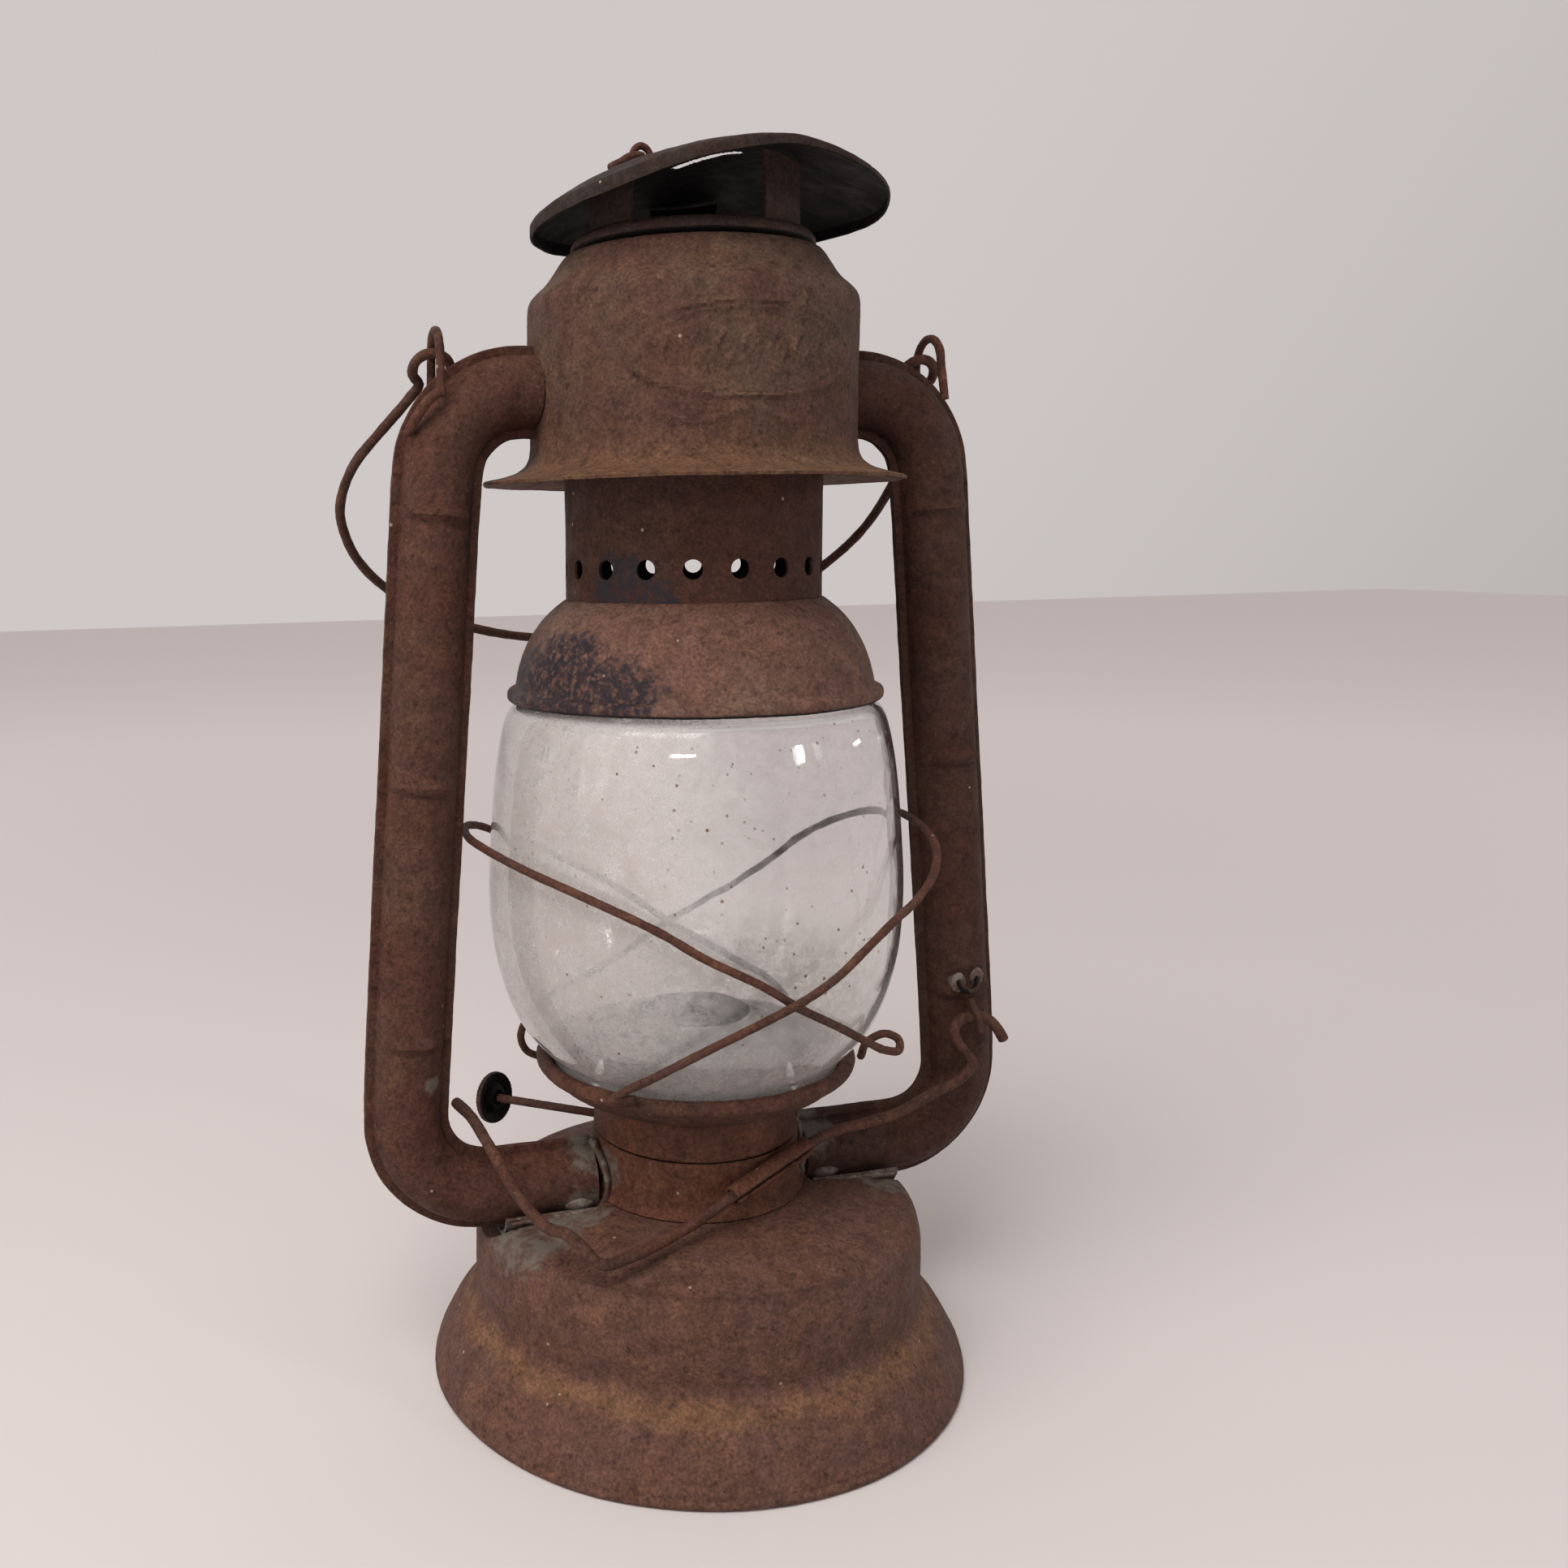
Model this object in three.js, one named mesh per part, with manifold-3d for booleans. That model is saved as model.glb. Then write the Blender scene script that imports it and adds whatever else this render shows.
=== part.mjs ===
// Hanging hurricane lantern: a tubular cold-blast kerosene lantern.
// Millimetres, +Z up. The origin is the centre of the base where it stands, and X runs through
// the two side tubes. The front is -Y.
import * as THREE from 'three';
import { mergeVertices } from 'three/addons/utils/BufferGeometryUtils.js';
import Module from 'manifold-3d';

const wasm = await Module();
wasm.setup();

// ---- driving dimensions -------------------------------------------------------------------
const BASE_R = 76.8;            // outer radius of the hemmed foot
const FOUNT_R = 64;             // wall of the fuel fount
const DECK_Z = 53;              // deck of the fount at the collar
const COLLAR_R = 29.5;          // air chamber that stands on the deck
const COLLAR_TOP_Z = 69.2;
const BAND_TOP_Z = 80;
const PLATE_R = 43.2;           // centre line of the globe plate's rolled rim
const PLATE_Z = 90.6;
const DOME_BEAD_R = 49.7;       // bead at the bottom of the dome
const DOME_BEAD_Z = 193.8;
const CHIMNEY_R = 34.4;
const CHIMNEY_HOLES = 18;
const HOLE_R = 2.5;
const HOLE_Z = 227.7;
const HOOD_R = 43.3;
const HOOD_BOTTOM_Z = 249.6;
const HOOD_TOP_Z = 307.6;
const NECK_R = 29.4;            // chimney neck that passes up through the hood
const CAP_R = 46.3;
const CAP_CENTRE = [3.8, -1.3]; // the rain cap has been pushed off centre
const CAP_TOP_Z = 331.5;
const TUBE_BORE_R = 8.5;        // side tubes
const SHEET = 0.8;              // tinplate thickness
const FLANGE = 2.3;             // width of the tubes' seam flanges
const RUN_Z = 57.4;             // axis of the tubes' bottom run, over the deck
const EAR_X = 68.5;             // wire ears that hold the bail
const EAR_Z = 281;
const EAR_ARCH_R = 7;
const EAR_WIRE_R = 1.1;
const BAIL_WIRE_R = 1.35;
const BAIL_TILT = THREE.MathUtils.degToRad(36);
const EYE_R = 5;                // centre line of the bail's end eyes
const EYE_HEADING = THREE.MathUtils.degToRad(-17);  // where each eye sits on its ear's arch
const GUARD_WIRE_R = 1.1;
const LEVER_WIRE_R = 1.55;
const GAP = 0.3;                // clearance between neighbouring pieces
const ROUND = 28;               // sides of the large turned pieces

const lantern = new THREE.Group();

const finish = {
  rust: { color: 0x6b4a3c, roughness: 0.85, metalness: 0.35 },
  darkRust: { color: 0x4a3429, roughness: 0.85, metalness: 0.35 },
  zinc: { color: 0x77766c, roughness: 0.6, metalness: 0.6 },
  brass: { color: 0x8a7038, roughness: 0.5, metalness: 0.8 },
  glass: { color: 0xdfe6e2, roughness: 0.1, metalness: 0, transparent: true, opacity: 0.35 },
  cotton: { color: 0xb9ad93, roughness: 0.95, metalness: 0 },
  cork: { color: 0x9a7448, roughness: 0.95, metalness: 0 },
};

// ---- helpers --------------------------------------------------------------------------------

// A closed, outward-facing geometry that holds only merged positions.
function closed(geometry) {
  const bare = new THREE.BufferGeometry();
  bare.setAttribute('position', geometry.getAttribute('position'));
  if (geometry.index) bare.setIndex(geometry.index);
  const merged = mergeVertices(bare, 1e-4);
  const position = merged.getAttribute('position');
  const index = merged.index.array;
  const corner = [new THREE.Vector3(), new THREE.Vector3(), new THREE.Vector3()];
  const kept = [];
  let volume = 0;
  for (let i = 0; i < index.length; i += 3) {
    const [a, b, c] = [index[i], index[i + 1], index[i + 2]];
    if (a === b || b === c || c === a) continue;
    kept.push(a, b, c);
    corner.forEach((v, k) => v.fromBufferAttribute(position, index[i + k]));
    volume += corner[0].dot(corner[1].clone().cross(corner[2]));
  }
  if (volume < 0) kept.reverse();
  merged.setIndex(kept);
  return merged;
}

// Turns a profile of [radius, height] points about the Z axis.
function turned(profile, sides = ROUND) {
  const onAxis = profile[0][0] === 0 && profile[profile.length - 1][0] === 0;
  const loop = onAxis ? profile : [...profile, profile[0]];
  const points = loop.map(([r, z]) => new THREE.Vector2(r, z));
  return closed(new THREE.LatheGeometry(points, sides).rotateX(Math.PI / 2));
}

// A thin turned shell: the outer profile, and the same profile moved inwards by a thickness.
function shellProfile(outer, thickness) {
  const inner = outer.map((point, i) => {
    const before = outer[Math.max(i - 1, 0)];
    const after = outer[Math.min(i + 1, outer.length - 1)];
    const along = new THREE.Vector2(after[0] - before[0], after[1] - before[1]).normalize();
    return [point[0] + along.y * thickness, point[1] - along.x * thickness];
  });
  return [...outer, ...inner.reverse()];
}

// A route whose steps fall on its own control stations, so bends can be finer than straights.
class Route extends THREE.CatmullRomCurve3 {
  getPointAt(u, target) {
    return this.getPoint(u, target);
  }
  getTangentAt(u, target) {
    return this.getTangent(u, target);
  }
}

// Sweeps a closed outline of [x, y] points along a list of 3-D points.
function swept(outline, path, stepsPerSpan) {
  const shape = new THREE.Shape(outline.map(([x, y]) => new THREE.Vector2(x, y)));
  const route = new Route(path.map((p) => new THREE.Vector3(...p)), false, 'centripetal');
  const steps = (path.length - 1) * stepsPerSpan;
  return closed(new THREE.ExtrudeGeometry(shape, { steps, extrudePath: route, bevelEnabled: false }));
}

function circle(radius, sides) {
  const turn = (2 * Math.PI) / sides;
  return Array.from({ length: sides }, (_, i) => [radius * Math.cos(i * turn), radius * Math.sin(i * turn)]);
}

function wire(path, radius, stepsPerSpan = 2, sides = 8) {
  return swept(circle(radius, sides), path, stepsPerSpan);
}

function toManifold(geometry) {
  return new wasm.Manifold(new wasm.Mesh({
    numProp: 3,
    vertProperties: new Float32Array(geometry.getAttribute('position').array),
    triVerts: new Uint32Array(geometry.index.array),
  }));
}

function fromManifold(solid) {
  const mesh = solid.getMesh();
  const geometry = new THREE.BufferGeometry();
  geometry.setAttribute('position', new THREE.BufferAttribute(new Float32Array(mesh.vertProperties), 3));
  geometry.setIndex([...mesh.triVerts]);
  return geometry;
}

function cut(geometry, cutters) {
  const solid = cutters.reduce((rest, tool) => rest.subtract(toManifold(closed(tool))), toManifold(geometry));
  return fromManifold(solid);
}

function join(pieces) {
  const solids = pieces.map((piece) => toManifold(closed(piece)));
  return fromManifold(solids.reduce((whole, piece) => whole.add(piece)));
}

// A rod or drill between two points.
function rod(from, to, radius, sides = 12) {
  const start = new THREE.Vector3(...from);
  const along = new THREE.Vector3(...to).sub(start);
  const geometry = new THREE.CylinderGeometry(radius, radius, along.length(), sides);
  geometry.translate(0, along.length() / 2, 0);
  geometry.applyQuaternion(new THREE.Quaternion().setFromUnitVectors(
    new THREE.Vector3(0, 1, 0), along.clone().normalize()));
  return geometry.translate(start.x, start.y, start.z);
}

function add(name, geometry, look, parent = lantern) {
  const mesh = new THREE.Mesh(closed(geometry), new THREE.MeshStandardMaterial(finish[look]));
  mesh.name = name;
  parent.add(mesh);
  return mesh;
}

function polar(degrees, radius, z) {
  const angle = THREE.MathUtils.degToRad(degrees);
  return [radius * Math.cos(angle), radius * Math.sin(angle), z];
}

function halfTurn(geometry) {
  return geometry.clone().rotateZ(Math.PI);
}

// ---- fount ----------------------------------------------------------------------------------
const FILLER = [6, 46.5];       // filler neck, on the deck behind the collar
const FILLER_BORE_R = 8;
const SHAFT_HEADING = 130;      // direction of the wick shaft, degrees from +X
const SHAFT_Z = 67.2;           // height of the wick shaft's axis over the origin
const SHAFT_DROP = 0.09;        // fall of the shaft for each millimetre outwards
const SADDLE_R = 13;            // soldered tray under each tube, let into the deck

function fount() {
  const skin = [
    [27, DECK_Z + 0.2], [48, DECK_Z - 1], [58, 50.6], [62.2, 46.6], [FOUNT_R, 32], [FOUNT_R, 22.5],
    [66, 19], [71, 14.6], [74.6, 8.6], [BASE_R, 3.2], [BASE_R, 0],
  ];
  const shell = turned([...skin, [BASE_R - 2.4, 0], [BASE_R - 2.4, 3], [72.6, 8.2],
    [69.4, 13.4], [64.4, 17.8], [62.4, 22], [62.4, 32], [60.8, 45.6], [57.4, 49], [48, DECK_Z - 2.4],
    [27, DECK_Z - 1.2]]);
  const drill = rod([...FILLER, 40], [...FILLER, 60], FILLER_BORE_R + 1.2, 20);
  const recesses = [1, -1].map((side) => rod([side * 31, 0, RUN_Z], [side * 80, 0, RUN_Z], SADDLE_R + 2 * GAP, 16));
  add('fount_shell', cut(shell, [drill, ...recesses]), 'rust');
  const tray = [];
  for (let i = 0; i <= 8; i += 1) tray.push(polar(202 + (136 * i) / 8, SADDLE_R, 0));
  for (let i = 8; i >= 0; i -= 1) tray.push(polar(202 + (136 * i) / 8, SADDLE_R - 1, 0));
  const saddle = closed(upright(tray, 32, 59)).rotateX(Math.PI / 2).rotateZ(Math.PI / 2);
  saddle.translate(0, 0, RUN_Z);
  add('tube_saddle_right', saddle, 'zinc');
  add('tube_saddle_left', halfTurn(saddle), 'zinc');
  add('fount_bottom', turned([
    [0, 5], [48, 5], [58, 3.4], [66, 5.6], [70, 7.4], [70, 8.4], [65.6, 6.8], [58, 4.6], [48, 6.2],
    [0, 6.2],
  ]), 'darkRust');
  const neck = turned([
    [FILLER_BORE_R, 48.6], [FILLER_BORE_R + 0.9, 48.6], [FILLER_BORE_R + 0.9, 58.6],
    [FILLER_BORE_R, 58.6],
  ], 20);
  add('filler_neck', neck.translate(FILLER[0], FILLER[1], 0), 'zinc');
}

function fillerCap() {
  const outside = FILLER_BORE_R + 3.4;
  const inside = FILLER_BORE_R + 1.3;
  const cap = turned([
    [0, 60.4], [inside, 60.4], [inside, 53.8], [outside, 53.8], [outside, 61.2], [outside - 1, 62.2],
    [4, 63], [0, 63],
  ], 24);
  add('filler_cap', cap.translate(FILLER[0], FILLER[1], 0), 'rust');
  const gasket = turned([[0, 58.9], [inside - 0.4, 58.9], [inside - 0.4, 60.1], [0, 60.1]], 20);
  add('filler_gasket', gasket.translate(FILLER[0], FILLER[1], 0), 'cork');
}

// ---- collar and burner ----------------------------------------------------------------------
function shaftPoint(distance) {
  return polar(SHAFT_HEADING, distance, SHAFT_Z - SHAFT_DROP * distance);
}

function collar() {
  const lower = turned([
    [COLLAR_R + 1.2, DECK_Z + 0.5], [COLLAR_R, DECK_Z + 4], [COLLAR_R - 0.4, COLLAR_TOP_Z],
    [COLLAR_R - 1.4, COLLAR_TOP_Z], [COLLAR_R - 1, DECK_Z + 4], [COLLAR_R + 0.2, DECK_Z + 0.5],
  ]);
  const drills = [
    rod([-40, 0, RUN_Z + 1.8], [40, 0, RUN_Z + 1.8], 6, 12),
    rod(shaftPoint(20), shaftPoint(36), 1.8, 10),
  ];
  add('air_chamber', cut(lower, drills), 'rust');
  add('burner_collar', turned([
    [28.9, COLLAR_TOP_Z + GAP], [28.9, 78.6], [28.2, BAND_TOP_Z], [25.4, BAND_TOP_Z],
    [25.4, BAND_TOP_Z - 1.2], [27.8, 78.8], [27.8, COLLAR_TOP_Z + GAP],
  ]), 'darkRust');
  const chimneyRing = turned([
    [25, BAND_TOP_Z + GAP], [26, BAND_TOP_Z + GAP], [27.8, 92], [27.4, 97.4], [20, 99.4],
    [16.2, 103.4], [15.4, 103.4], [19.4, 98.4], [26.4, 96.4], [26.8, 92],
  ]);
  add('burner_cone', chimneyRing, 'zinc');
  const body = turned([
    [0, 62.2], [20, 62.2], [22, 64], [24.4, 79.6], [24.4, 84], [23.6, 84], [21, 65.2], [0, 63.4],
  ], 28);
  const slot = new THREE.BoxGeometry(24, 5.4, 20).translate(0, 0, 62);
  const entry = rod(shaftPoint(9), shaftPoint(30), 1.8, 10);
  add('burner_body', cut(body, [slot, entry]), 'brass');
}

function roundedSlot(length, width, corner = 4) {
  const half = width / 2;
  const reach = length / 2 - half;
  const ends = [[reach, -90], [-reach, 90]];
  return ends.flatMap(([x, start]) => Array.from({ length: corner + 1 }, (_, i) => {
    const angle = THREE.MathUtils.degToRad(start + (180 * i) / corner);
    return [x + half * Math.cos(angle), half * Math.sin(angle)];
  }));
}

function upright(outline, z0, z1) {
  const shape = new THREE.Shape(outline.map(([x, y]) => new THREE.Vector2(x, y)));
  return new THREE.ExtrudeGeometry(shape, { depth: z1 - z0, bevelEnabled: false }).translate(0, 0, z0);
}

const WICK_LENGTH = 21.4;
const WICK_THICK = 2;

function wickParts() {
  const tube = closed(upright(roundedSlot(WICK_LENGTH + 2, WICK_THICK + 2), 55, 97));
  const bore = upright(roundedSlot(WICK_LENGTH + 0.7, WICK_THICK + 0.7), 50, 100);
  const window = new THREE.BoxGeometry(18, 6, 8).translate(0, 4, SHAFT_Z);
  add('wick_tube', cut(tube, [bore, window]), 'brass');
  add('wick', upright(roundedSlot(WICK_LENGTH, WICK_THICK), 20, 99), 'cotton');
}

// The shaft lies on its own heading, with its disc knob at the outer end.
function wickShaft() {
  const INNER = 6.2;
  const KNOB_AT = 74;
  const KNOB_R = 8;
  add('wick_shaft', rod(shaftPoint(INNER), shaftPoint(KNOB_AT - 1.9), 1.25, 10), 'darkRust');
  const knob = turned([
    [0, -0.2], [2.2, -0.2], [2.2, -1.6], [3.4, -1.6], [4.4, 0], [KNOB_R - 0.8, -1.2], [KNOB_R, -0.4],
    [KNOB_R, 0.8], [KNOB_R - 0.8, 1.4], [3, 1.4], [0, 1.8],
  ], 24);
  const outward = new THREE.Vector3(...shaftPoint(1)).sub(new THREE.Vector3(...shaftPoint(0))).normalize();
  knob.applyQuaternion(new THREE.Quaternion().setFromUnitVectors(new THREE.Vector3(0, 0, 1), outward));
  add('wick_knob', knob.translate(...shaftPoint(KNOB_AT)), 'darkRust');
}

// ---- side tubes -----------------------------------------------------------------------------
// One half of a tube: half a ring with a flat seam flange at each edge.
function halfTubeOutline(front) {
  const ARC = 5;
  const side = front ? 1 : -1;
  const seam = GAP / 2;
  const outer = TUBE_BORE_R + SHEET;
  const arc = (radius, reverse) => Array.from({ length: ARC + 1 }, (_, i) => {
    const angle = (Math.PI * (reverse ? ARC - i : i)) / ARC;
    return [radius * Math.cos(angle), Math.max(radius * Math.sin(angle), 0) + seam];
  });
  const outside = arc(outer, false);
  outside[0][1] = SHEET + seam;
  outside[ARC][1] = SHEET + seam;
  return [
    [outer + FLANGE, seam], [outer + FLANGE, SHEET + seam], ...outside,
    [-outer - FLANGE, SHEET + seam], [-outer - FLANGE, seam], ...arc(TUBE_BORE_R, true),
  ].map(([across, depth]) => [side * depth, across]);
}

function tubeRoute() {
  const BEND = 22;
  const topBend = [47, 251];
  const footBend = [61.2, 79.6];
  const bend = ([x, z], from, to, count) => Array.from({ length: count }, (_, i) => {
    const angle = THREE.MathUtils.degToRad(from + ((to - from) * i) / (count - 1));
    return [x + BEND * Math.cos(angle), 0, z + BEND * Math.sin(angle)];
  });
  return [
    [HOOD_R + 0.6, 0, topBend[1] + BEND], ...bend(topBend, 90, 5, 5), [73.6, 0, 198], [78.4, 0, 142],
    ...bend(footBend, 5, -90, 5), [44, 0, RUN_Z], [COLLAR_R + 1.8, 0, RUN_Z],
  ];
}

function sideTubes() {
  const path = tubeRoute();
  const halves = { front: swept(halfTubeOutline(true), path, 1), rear: swept(halfTubeOutline(false), path, 1) };
  add('tube_right_front', halves.front, 'rust');
  add('tube_right_rear', halves.rear, 'rust');
  add('tube_left_front', halfTurn(halves.rear), 'rust');
  add('tube_left_rear', halfTurn(halves.front), 'rust');
}

// ---- hood -----------------------------------------------------------------------------------
function hood() {
  const skin = [
    [31.3, HOOD_TOP_Z - 0.2], [33.2, HOOD_TOP_Z], [36, 303.8], [41.9, 297.2], [HOOD_R, 294.8],
    [HOOD_R, 258.8], [44.4, 254.8], [48.4, 252.4], [56.2, HOOD_BOTTOM_Z + 0.8],
  ];
  const shell = turned(shellProfile(skin, SHEET));
  const entries = [rod([-60, 0, 273], [60, 0, 273], TUBE_BORE_R - 1, 14)];
  add('hood', cut(shell, entries), 'rust');
}

// ---- chimney, dome and cap ------------------------------------------------------------------
const CREASE_Z = 219.6;
const WIDE_TOP_Z = 262;

function chimney() {
  const skin = [
    [NECK_R + 0.8, WIDE_TOP_Z + 3.4], [CHIMNEY_R, WIDE_TOP_Z], [CHIMNEY_R, CREASE_Z + 0.2],
  ];
  const tube = turned(shellProfile(skin, SHEET));
  const neck = [[NECK_R, 305.6], [NECK_R, WIDE_TOP_Z + 3.8]];
  add('chimney_neck', turned(shellProfile(neck, SHEET)), 'rust');
  const drills = Array.from({ length: CHIMNEY_HOLES / 2 }, (_, i) => {
    const heading = (360 / CHIMNEY_HOLES) * (i + 0.54);
    return rod(polar(heading, 60, HOLE_Z), polar(heading + 180, 60, HOLE_Z), HOLE_R, 6);
  });
  add('chimney_tube', cut(tube, drills), 'rust');
  const dome = [
    [CHIMNEY_R, CREASE_Z - 0.1], [38.4, 216.4], [42.4, 212], [45.8, 206], [47.8, 200], [48.9, 195.4],
    [DOME_BEAD_R + 1.4, 194.6], [DOME_BEAD_R + 1.4, 193], [DOME_BEAD_R, 192.2],
  ];
  const inside = [
    [48, 192.2], [47.9, 195], [46.8, 200], [44.9, 205.4], [41.6, 211.1], [37.6, 215.3],
    [CHIMNEY_R - 1, 218],
  ];
  add('dome', turned([...dome, ...inside]), 'rust');
  add('neck_ring', turned([
    [NECK_R + 0.2, 306], [NECK_R + 0.2, 308.4], [31.2, 308.4], [31.8, 309.4], [31.6, 310.6],
    [29.6, 312.4], [28.8, 312.4], [28.8, 306],
  ]), 'rust');
}

// A smooth bump of height 1 at a heading, in degrees from +X.
function swell(degrees, middle, width) {
  const away = ((((degrees - middle) % 360) + 540) % 360) - 180;
  return Math.exp(-((away / width) ** 2));
}

// Height of the cap's lower edge. The front has been bent upwards.
function capEdge(degrees) {
  const around = THREE.MathUtils.degToRad(degrees);
  return 314.5 + 2.1 * Math.cos(around) + 9.5 * swell(degrees, -88, 51);
}

// The turned-down rim is flattened at the front right.
function capTop(degrees, radius) {
  const rim = capEdge(degrees) + 3.2 - 2 * swell(degrees, -50, 45);
  return CAP_TOP_Z + (rim - CAP_TOP_Z) * (radius / CAP_R) ** 2.2;
}

function cap() {
  const rings = [0, 12, 24, 34, 41, 44.6, CAP_R];
  const over = rings.map((r) => [r, 1]);
  const under = rings.slice(0, -1).map((r) => [r, -1]).reverse();
  const profile = [...over, [CAP_R, 0], [CAP_R - SHEET, 0], ...under];
  const geometry = turned(profile, 36);
  const position = geometry.getAttribute('position');
  for (let i = 0; i < position.count; i += 1) {
    const [x, y, level] = [position.getX(i), position.getY(i), position.getZ(i)];
    const radius = Math.hypot(x, y);
    const degrees = THREE.MathUtils.radToDeg(Math.atan2(y, x));
    const top = capTop(degrees, Math.min(radius, CAP_R));
    const height = { '1': top, '-1': top - SHEET, '0': capEdge(degrees) }[String(Math.round(level))];
    position.setXYZ(i, x + CAP_CENTRE[0], y + CAP_CENTRE[1], height);
  }
  add('rain_cap', geometry, 'rust');
}

function capStraps() {
  const STRAP_R = 28.3;
  const WIDTH = 40;             // degrees of the neck that one strap covers
  [202, 308, 76].forEach((heading, number) => {
    const outline = [];
    for (let i = 0; i <= 5; i += 1) outline.push(polar(heading - WIDTH / 2 + (WIDTH * i) / 5, STRAP_R, 0));
    for (let i = 5; i >= 0; i -= 1) outline.push(polar(heading - WIDTH / 2 + (WIDTH * i) / 5, STRAP_R - SHEET, 0));
    const strap = closed(upright(outline, 306.5, 340));
    const position = strap.getAttribute('position');
    for (let i = 0; i < position.count; i += 1) {
      const x = position.getX(i) - CAP_CENTRE[0];
      const y = position.getY(i) - CAP_CENTRE[1];
      const degrees = THREE.MathUtils.radToDeg(Math.atan2(y, x));
      if (position.getZ(i) > 330) {
        position.setZ(i, capTop(degrees, Math.hypot(x, y)) - SHEET - 0.7);
      }
    }
    add(`cap_strap_${number + 1}`, strap, 'rust');
  });
}

const RING_HINGE = [-13, 2.2, 332.5];
const RING_R = 4.2;
const RING_WIRE_R = 1.1;

// A small ring that hangs in a wire lug, folded down over the cap's left side.
function liftRing() {
  const [x, y, z] = RING_HINGE;
  const lug = wire([[x + 2.6, y - 0.4, 330.9], [x + 1.9, y, z + 1.4], [x, y, z + 2.5], [x - 1.9, y, z + 1.4],
    [x - 2.6, y + 0.4, 329.9]], 0.8, 2, 6);
  add('ring_lug', lug, 'darkRust');
  const tilt = THREE.MathUtils.degToRad(-20);
  const ring = new THREE.TorusGeometry(RING_R, RING_WIRE_R, 6, 16).rotateY(tilt);
  ring.translate(x - RING_R * Math.cos(tilt), y, z + RING_R * Math.sin(tilt));
  add('lift_ring', ring, 'darkRust');
}

function hoodSpring() {
  const TURNS = 4;
  const STATIONS = 10;
  const [low, high] = [265.6, 302.2];
  const path = Array.from({ length: TURNS * STATIONS + 1 }, (_, i) =>
    polar((360 * i) / STATIONS, 32.9, low + ((high - low) * i) / (TURNS * STATIONS)));
  add('hood_spring', wire(path, 0.7, 1, 5), 'zinc');
}

// ---- globe and its carrier ------------------------------------------------------------------
function globe() {
  const GLASS = 2;
  const skin = [
    [43.2, 199.6], [46.4, 197], [47.2, 192], [51.3, 190.4], [54, 178], [56.4, 157], [57.3, 138],
    [55.6, 120], [50.6, 104.6], [43.6, 95], [39.8, 91], [39.6, 85.4],
  ];
  add('globe', turned(shellProfile(skin, GLASS)), 'glass');
}

function globePlate() {
  const rim = Array.from({ length: 6 }, (_, i) => {
    const angle = THREE.MathUtils.degToRad(-150 + i * 58);
    return [PLATE_R + 2 * Math.cos(angle), PLATE_Z + 2.2 * Math.sin(angle)];
  });
  add('globe_plate', turned([
    [29.4, 82], [30.4, 81.4], [36, 83], [41.2, 86], ...rim, [41, 90.2], [40.8, 88], [40, 85],
    [35.6, 84.2], [30.4, 83.2], [29.4, 83.2],
  ]), 'rust');
}

// Guard wires: each climbs the front of the globe, turns round one side and falls behind it.
function guardWires() {
  const a = [
    [-137, 46.6, 92], [-130, 49, 96.4], [-120, 52.8, 102.4], [-106, 57, 111.4], [-92, 60, 119.4],
    [-84, 61.4, 123.6], [-75, 61.6, 128.2], [-64, 61.6, 134.6], [-54, 61.8, 138.8], [-46, 63.6, 142.2],
    [-37, 65.6, 147], [-26, 65.6, 151.6], [-15, 63.4, 155.2], [2, 60.6, 156.7], [20, 60.6, 152],
    [34, 60.8, 145], [52, 60.6, 130.7], [69, 60.2, 119], [78, 59.4, 114], [91, 56.6, 106.6],
    [110, 52.6, 101], [130, 51, 98.6], [145, 51.6, 95], [149, 52.4, 90.4], [148.4, 50.6, 86], [145, 46.6, 84],
    [142.5, 43.4, 86.2],
  ];
  const b = [
    [33, 47.6, 94.6], [43, 50.2, 98.6], [52, 52, 101.2], [60, 53.8, 104], [68, 55, 107.6], [78, 56.4, 113],
    [88, 58.6, 119.6], [97, 60.2, 126.4], [118, 61.2, 139.2], [141, 60.8, 150], [152, 62.4, 154.4],
    [165, 63.6, 157], [176, 63.2, 156.6], [187, 61.4, 155.6], [206, 60.4, 153.4], [227, 60.4, 148.5],
    [243, 60.4, 142], [253, 60.2, 135.8], [267, 59.4, 128], [277, 58.4, 121], [290, 57, 113.6],
    [302, 56.4, 106.8], [311, 57.4, 102], [317, 59.2, 100.4], [318.5, 58.6, 102.6], [315, 55.6, 105],
    [314, 51.6, 102.6], [320, 48, 96],
  ];
  add('guard_wire_a', wire(a.map(([h, r, z]) => polar(h, r, z)), GUARD_WIRE_R, 1, 6), 'darkRust');
  add('guard_wire_b', wire(b.map(([h, r, z]) => polar(h, r, z)), GUARD_WIRE_R, 1, 6), 'darkRust');
}

// ---- bail and ears --------------------------------------------------------------------------
// Each ear is a wire arch whose centre line is an arc about the bail's own axis.
function ears() {
  const arch = Array.from({ length: 7 }, (_, i) => {
    const angle = Math.PI * (i / 6);
    return [0, EAR_ARCH_R * Math.cos(angle), EAR_Z + EAR_ARCH_R * Math.sin(angle)];
  });
  [['ear_right', 1], ['ear_left', -1]].forEach(([name, side]) => {
    const foot = (y) => [side * (EAR_X + 0.4), y, 271.2];
    const path = [foot(7.5), ...arch.map(([, y, z]) => [side * EAR_X, y, z]), foot(-9)];
    add(name, wire(path, EAR_WIRE_R, 1, 6), 'darkRust');
  });
}

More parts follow.
